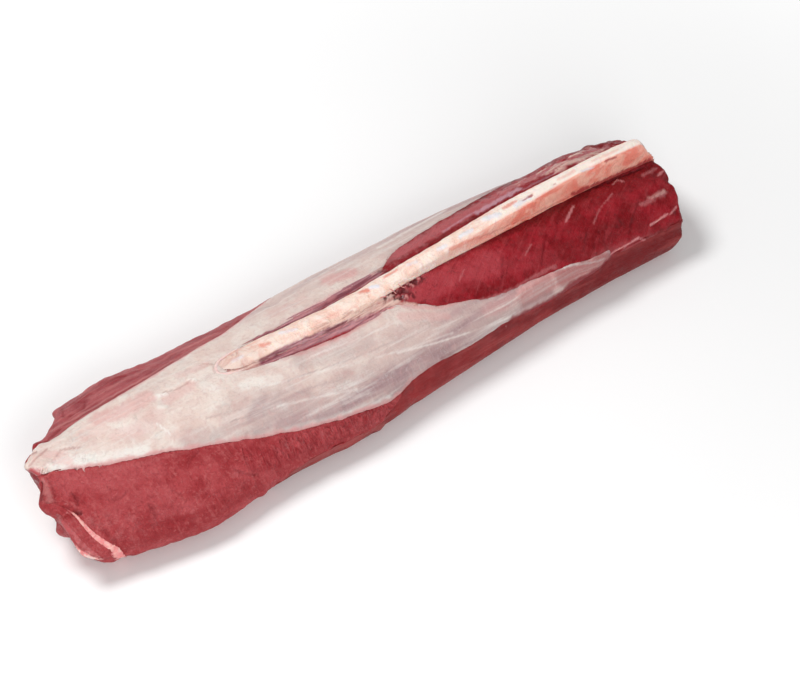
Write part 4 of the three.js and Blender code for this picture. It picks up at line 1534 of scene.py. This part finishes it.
boneSettings = {
    "voxel": 1.5 * mm,
    "crumb": 0.35 * mm,
    "crumbSize": 6 * mm,
    "grain": 0.3 * mm,
    "grainFrame": grainFrame(0.0, 16 * mm, 5 * mm),
    "edges": {"cap": (0.4,), "blood": (0.8, 4 * mm), "blush": (0.6, 4 * mm), "plum": (0.5, 6 * mm),
              "tan": (0.6, 6 * mm)},
    "capHeight": 0.7 * mm,
    "bloodDepth": 0.4 * mm,
    "cutSide": (0.35, 0.75),
    "cutFrom": (0.08, 0.17),
    "cutAbove": (0.05, 0.06),
    "cutEnd": (0.6, 0.9),
    "endPlace": (0.3, 0.32),
    "underHeight": (8 * mm, 14 * mm),
    "palePlace": (0.12, 0.22),
    "dullPlace": (-0.14, -0.08),
    "plum": [([(252, -6), (280, -9), (345, -9), (386, -8)], 3.4, 1.0)],
    # The tan strip paints the membrane at the bone's near edge and painted shade on the bone's shaded side
    # there
    "tan": [
        ([(316, -15), (345, -15), (380, -16), (402, -15)], 4.6, 0.85),
        ([(240, -8), (300, -13)], 2.0, 0.5),
    ],
    "cap": [
        ([(381, -33), (388, -32)], 3.2, 0.9),
        ([(425, -40), (433, -39)], 2.8, 0.5),
        ([(458, -43), (466, -43)], 3.2, 0.7),
        ([(484, -46), (496, -48)], 3.4, 0.85),
        ([(512, -53), (528, -52)], 4.0, 0.85),
        ([(546, -54), (562, -56)], 3.4, 0.75),
        ([(280, -25), (296, -22)], 2.8, 0.6),
        ([(226, -17), (236, -18)], 2.6, 0.5),
        ([(620, -61), (634, -60)], 1.2, 0.7),
    ],
    "blush": [
        ([(214, -22), (230, -25), (256, -27)], 1.2, 0.35),
        ([(206, -18), (206, -12)], 1.2, 0.3),
        ([(258, -21), (266, -20)], 3.0, 0.7),
        ([(370, -33), (378, -32)], 3.0, 0.9),
        ([(398, -38), (412, -40)], 2.2, 0.7),
        ([(320, -20), (345, -22)], 6.0, 0.15),
        ([(470, -38), (500, -39)], 3.0, 0.6),
        ([(534, -56), (548, -58)], 2.4, 0.8),
        ([(596, -62), (614, -64)], 2.4, 0.4),
        ([(634, -66), (662, -67)], 2.0, 0.35),
        ([(300, -14), (345, -14)], 4.0, 0.25),
    ],
    "blood": [
        ([(556, -56), (566, -58)], 1.8, 0.8),
        ([(646, -61), (658, -61)], 1.6, 0.8),
        ([(500, -38), (560, -39), (600, -42)], 1.2, 0.35),
        ([(604, -43), (650, -44), (690, -45)], 3.0, 0.9),
        ([(588, -60), (592, -59)], 1.4, 0.5),
    ],
}


def makeBackbone():
    look = boneSettings
    part = dress("backbone", look)
    points = part.points
    normals = normalsOf(part.piece.data)
    cap = paint(part.places, look, "cap") * part.outside
    blood = paint(part.places, look, "blood") * part.outside
    side = smooth(-normals[:, 1], *look["cutSide"]) + smooth(normals[:, 1], *look["cutSide"])
    side *= smooth(points[:, 0], *look["cutFrom"]) * smooth(points[:, 2], *look["cutAbove"])
    under = 1.0 - smooth(points[:, 2], *look["underHeight"])
    under *= smooth(cloud(points, 26 * mm, 8.0), -0.1, 0.35)
    cut = smooth(np.abs(normals[:, 0]), *look["cutEnd"])
    wavy = points[:, 0] + 12 * mm * cloud(points, 20 * mm, 4.0)
    masks = {
        "cap": cap,
        "blush": np.maximum(paint(part.places, look, "blush"), under * 0.5),
        "blood": blood,
        "plum": paint(part.places, look, "plum") * part.outside,
        "tan": paint(part.places, look, "tan") * part.outside,
        "side": side,
        "marrow": cut * smooth(np.abs(points[:, 0]), *look["endPlace"]),
        "pale": smooth(points[:, 0], *look["palePlace"]) * part.outside,
        "dull": (1.0 - smooth(wavy, *look["dullPlace"])) * 0.85,
    }
    shift = (cap * look["capHeight"] - blood * look["bloodDepth"]) * part.outside
    finishPiece(part, shift, bone, masks)


makeBackbone()

smallSettings = {
    "voxel": 1.0 * mm,
    "swell": 0.8 * mm,
    "lift": 0.3 * mm,
    "crumb": 0.3 * mm,
    "crumbSize": 4 * mm,
    "grain": 0.25 * mm,
    "grainFrame": grainFrame(-0.9, 12 * mm, 3 * mm),
    "edges": {"deepen": (0.6,), "blood": (0.8, 3 * mm), "shown": (0.6, 4 * mm), "pearl": (0.5,)},
    "lumps": [(5 * mm, 3.0, 0.4 * mm), (2.5 * mm, 5.0, 0.25 * mm)],
    "blood": [
        ([(12, 86), (18, 98), (28, 110), (36, 116)], 1.4, 0.8),
        ([(10, 96), (14, 102)], 1.2, 0.6),
        ([(24, 115), (28, 118)], 1.2, 0.6),
    ],
    # Darker red along the rim of the flap, and painted shade in the crease above it
    "deepen": [
        ([(14, 84), (24, 104), (34, 116)], 3.0, 0.7),
        ([(10, 64), (18, 66)], 3.0, 0.8),
    ],
    "shown": {
        "rump_flap": [],
        "fat_seam": [([(26, 78), (42, 100), (58, 124)], 20, 1.0)],
        "fat_rim": [([(8, 84), (12, 94), (18, 104), (26, 112), (37, 118)], 5.5, 1.0)],
    },
    "pearl": [
        ([(11, 92), (16, 101)], 1.6, 0.7),
        ([(20, 107), (30, 115)], 2.0, 0.6),
        ([(14, 104), (22, 113)], 1.6, 0.6),
    ],
}


# The flap at the rump corner, the seam of fat beside it and the rim of fat outside it
def makeCorner(name, material, lean):
    look = smallSettings
    part = dress(name, look)
    shown = brush(part.places, look["shown"][name], *look["edges"]["shown"])
    masks = {
        "deepen": paint(part.places, look, "deepen") * lean,
        "blood": paint(part.places, look, "blood"),
        "flesh": 1.0 - shown,
        "pearl": paint(part.places, look, "pearl"),
    }
    finishPiece(part, clouds(part.points, look["lumps"]) * part.outside, material, masks)


makeCorner("rump_flap", rumpMeat, 1.0)
makeCorner("fat_seam", softFat, 0.0)
makeCorner("fat_rim", softFat, 0.0)

# Strands of tissue that lie on the meat: lines in the photograph with their half widths in millimetres
strandSettings = {
    "torn_strands": {
        "lines": [
            ([(620, 26), (632, 24.5), (643, 23)], 0.6),
            ([(668, 15), (675, 13), (682, 11)], 0.7),
            ([(646, -37), (651, -40)], 0.5),
        ],
        "lift": 0.4,
        "flesh": 0.3,
    },
    "slot_strands": {
        "lines": [
            ([(398, -25), (401, -22), (403, -17)], 0.7),
            ([(408, -26), (410, -22), (415, -19)], 0.8),
            ([(386, -20), (392, -19), (398, -16)], 0.7),
            ([(384, -9), (391, -6), (398, -6)], 0.7),
        ],
        "lift": 0.2,
        "flesh": 0.3,
    },
    "tip_fold": {
        "lines": [
            ([(236, -27), (222, -25), (212, -22), (207, -17), (208, -11), (216, -7.5), (234, -5)], 1.9),
        ],
        "lift": 0.1,
        "flesh": 0.12,
        "pearl": 0.6,
    },
    "tendon_curl": {
        "lines": [([(6, 15), (7, 12), (10, 10), (13, 12), (12, 16), (9, 16)], 1.1)],
        "lift": 1.2,
        "flat": 0.8,
        "rounds": 2,
        "pearl": 0.7,
        "node": "tendon_knob",
    },
}

strandShape = {
    "corners": 6,
    "step": 3.0,
    "shortStep": 1.5,
    "ends": 0.35,
    "roundEnd": 0.04,
    "wave": 0.3,
    "waveSize": 6 * mm,
}


# A tube along a line of the photograph, thinner to its ends
def addStrand(model, line, width, flat, lift):
    shape = strandShape
    path = lineOnMeat(line, shape["step"])
    if len(path) < 3:
        path = lineOnMeat(line, shape["shortStep"])
    rings = []
    for index, place in enumerate(path):
        share = min(max(index / (len(path) - 1), shape["roundEnd"]), 1 - shape["roundEnd"])
        spread = width * mm * (shape["ends"] + (1 - shape["ends"]) * math.sin(math.pi * share))
        waved = (place[0] / shape["waveSize"], place[1] / shape["waveSize"], width)
        spread *= 1.0 + shape["wave"] * noise.noise(waved)
        step = Vector(path[min(index + 1, len(path) - 1)] - path[max(index - 1, 0)]).normalized()
        spot, normal = formTree.find_nearest(place)[:2]
        side = normal.cross(step).normalized()
        centre = spot + normal * (sharedRelief(np.array([spot]))[0] + lift * mm)
        ring = []
        for corner in range(shape["corners"]):
            turn = corner * math.tau / shape["corners"]
            reach = side * (math.cos(turn) * spread) + normal * (math.sin(turn) * spread * flat)
            ring.append(model.verts.new(centre + reach))
        rings.append(ring)
    edges = []
    for ring in rings:
        edges += [model.edges.new(pair) for pair in zip(ring, ring[1:] + ring[:1])]
    bmesh.ops.bridge_loops(model, edges=edges)
    for ring in (rings[0], rings[-1]):
        bmesh.ops.contextual_create(model, geom=ring)


def makeStrands(name, look):
    model = bmesh.new()
    for line, width in look["lines"]:
        addStrand(model, line, width, look.get("flat", 0.5), look["lift"])
    bmesh.ops.recalc_face_normals(model, faces=model.faces)
    piece = pieceFrom(model, name)
    piece.data.shade_smooth()
    rounds = look.get("rounds", 1)
    modify(piece, "SUBSURF", levels=rounds, render_levels=rounds)
    bakeModifiers(piece)
    node = look.get("node")
    if node is None:
        movePoints(piece.data, pullEnds(pointsOf(piece.data)))
    for mask in ("flesh", "pearl"):
        storeMask(piece.data, mask, np.full(len(piece.data.vertices), look.get(mask, 0.0)))
    handOver(piece, softFat, node)


for strandName, strandLook in strandSettings.items():
    makeStrands(strandName, strandLook)

studioSettings = {
    "floorSize": 6.0,
    "floorTone": (0.96, 0.96, 0.96, 1.0),
    "floorGlow": 0.6,
    "glowReach": (0.35, 1.4),
    "skyTone": (1.0, 1.0, 1.0, 1.0),
    "skyStrength": 0.36,
    "backdropStrength": 0.92,
    "keyPlace": (-1.0, 0.3, 1.9),
    "keyStrength": 28.0,
    "keySize": 0.8,
    "fillPlace": (0.6, -1.6, 1.1),
    "fillStrength": 18.0,
    "fillSize": 1.2,
}


def makeFloor():
    model = bmesh.new()
    bmesh.ops.create_grid(model, x_segments=1, y_segments=1, size=studioSettings["floorSize"])
    floor = pieceFrom(model, "floor")
    constants = {
        "Base Color": studioSettings["floorTone"],
        "Roughness": 0.9,
        "Specular IOR Level": 0.1,
        "Emission Color": studioSettings["skyTone"],
    }
    material, tree, shader = newMaterial("whiteFloor", constants)
    seen = tree.nodes.new("ShaderNodeLightPath").outputs["Is Camera Ray"]
    away = addNode(tree, "ShaderNodeVectorMath", {0: coordinate(tree, "Object")}, operation="LENGTH")["Value"]
    fade = rangeNode(tree, away, *studioSettings["glowReach"], 0.0, studioSettings["floorGlow"])
    feed(tree, shader, "Emission Strength", times(tree, seen, fade))
    floor.data.materials.append(material)


def addLight(name):
    data = bpy.data.lights.new(name + "Light", "AREA")
    data.shape = "DISK"
    data.size = studioSettings[name + "Size"]
    data.energy = studioSettings[name + "Strength"]
    light = newObject(name + "Light", data)
    right, away, height = studioSettings[name + "Place"]
    ground = Vector((-viewBack.x, -viewBack.y, 0.0)).normalized()
    light.location = viewRight * right + ground * away + Vector((0.0, 0.0, height))
    light.rotation_euler = light.location.to_track_quat("Z", "Y").to_euler()


def makeSky():
    world = bpy.data.worlds.new("studio")
    world.use_nodes = True
    tree = world.node_tree
    background = tree.nodes["Background"]
    seen = tree.nodes.new("ShaderNodeLightPath").outputs["Is Camera Ray"]
    strengths = studioSettings["skyStrength"], studioSettings["backdropStrength"]
    feed(tree, background, "Color", studioSettings["skyTone"])
    feed(tree, background, "Strength", rangeNode(tree, seen, 0.0, 1.0, *strengths))
    bpy.context.scene.world = world
    bpy.context.scene.view_settings.view_transform = "Standard"


makeFloor()
addLight("key")
addLight("fill")
makeSky()
print("studio made")
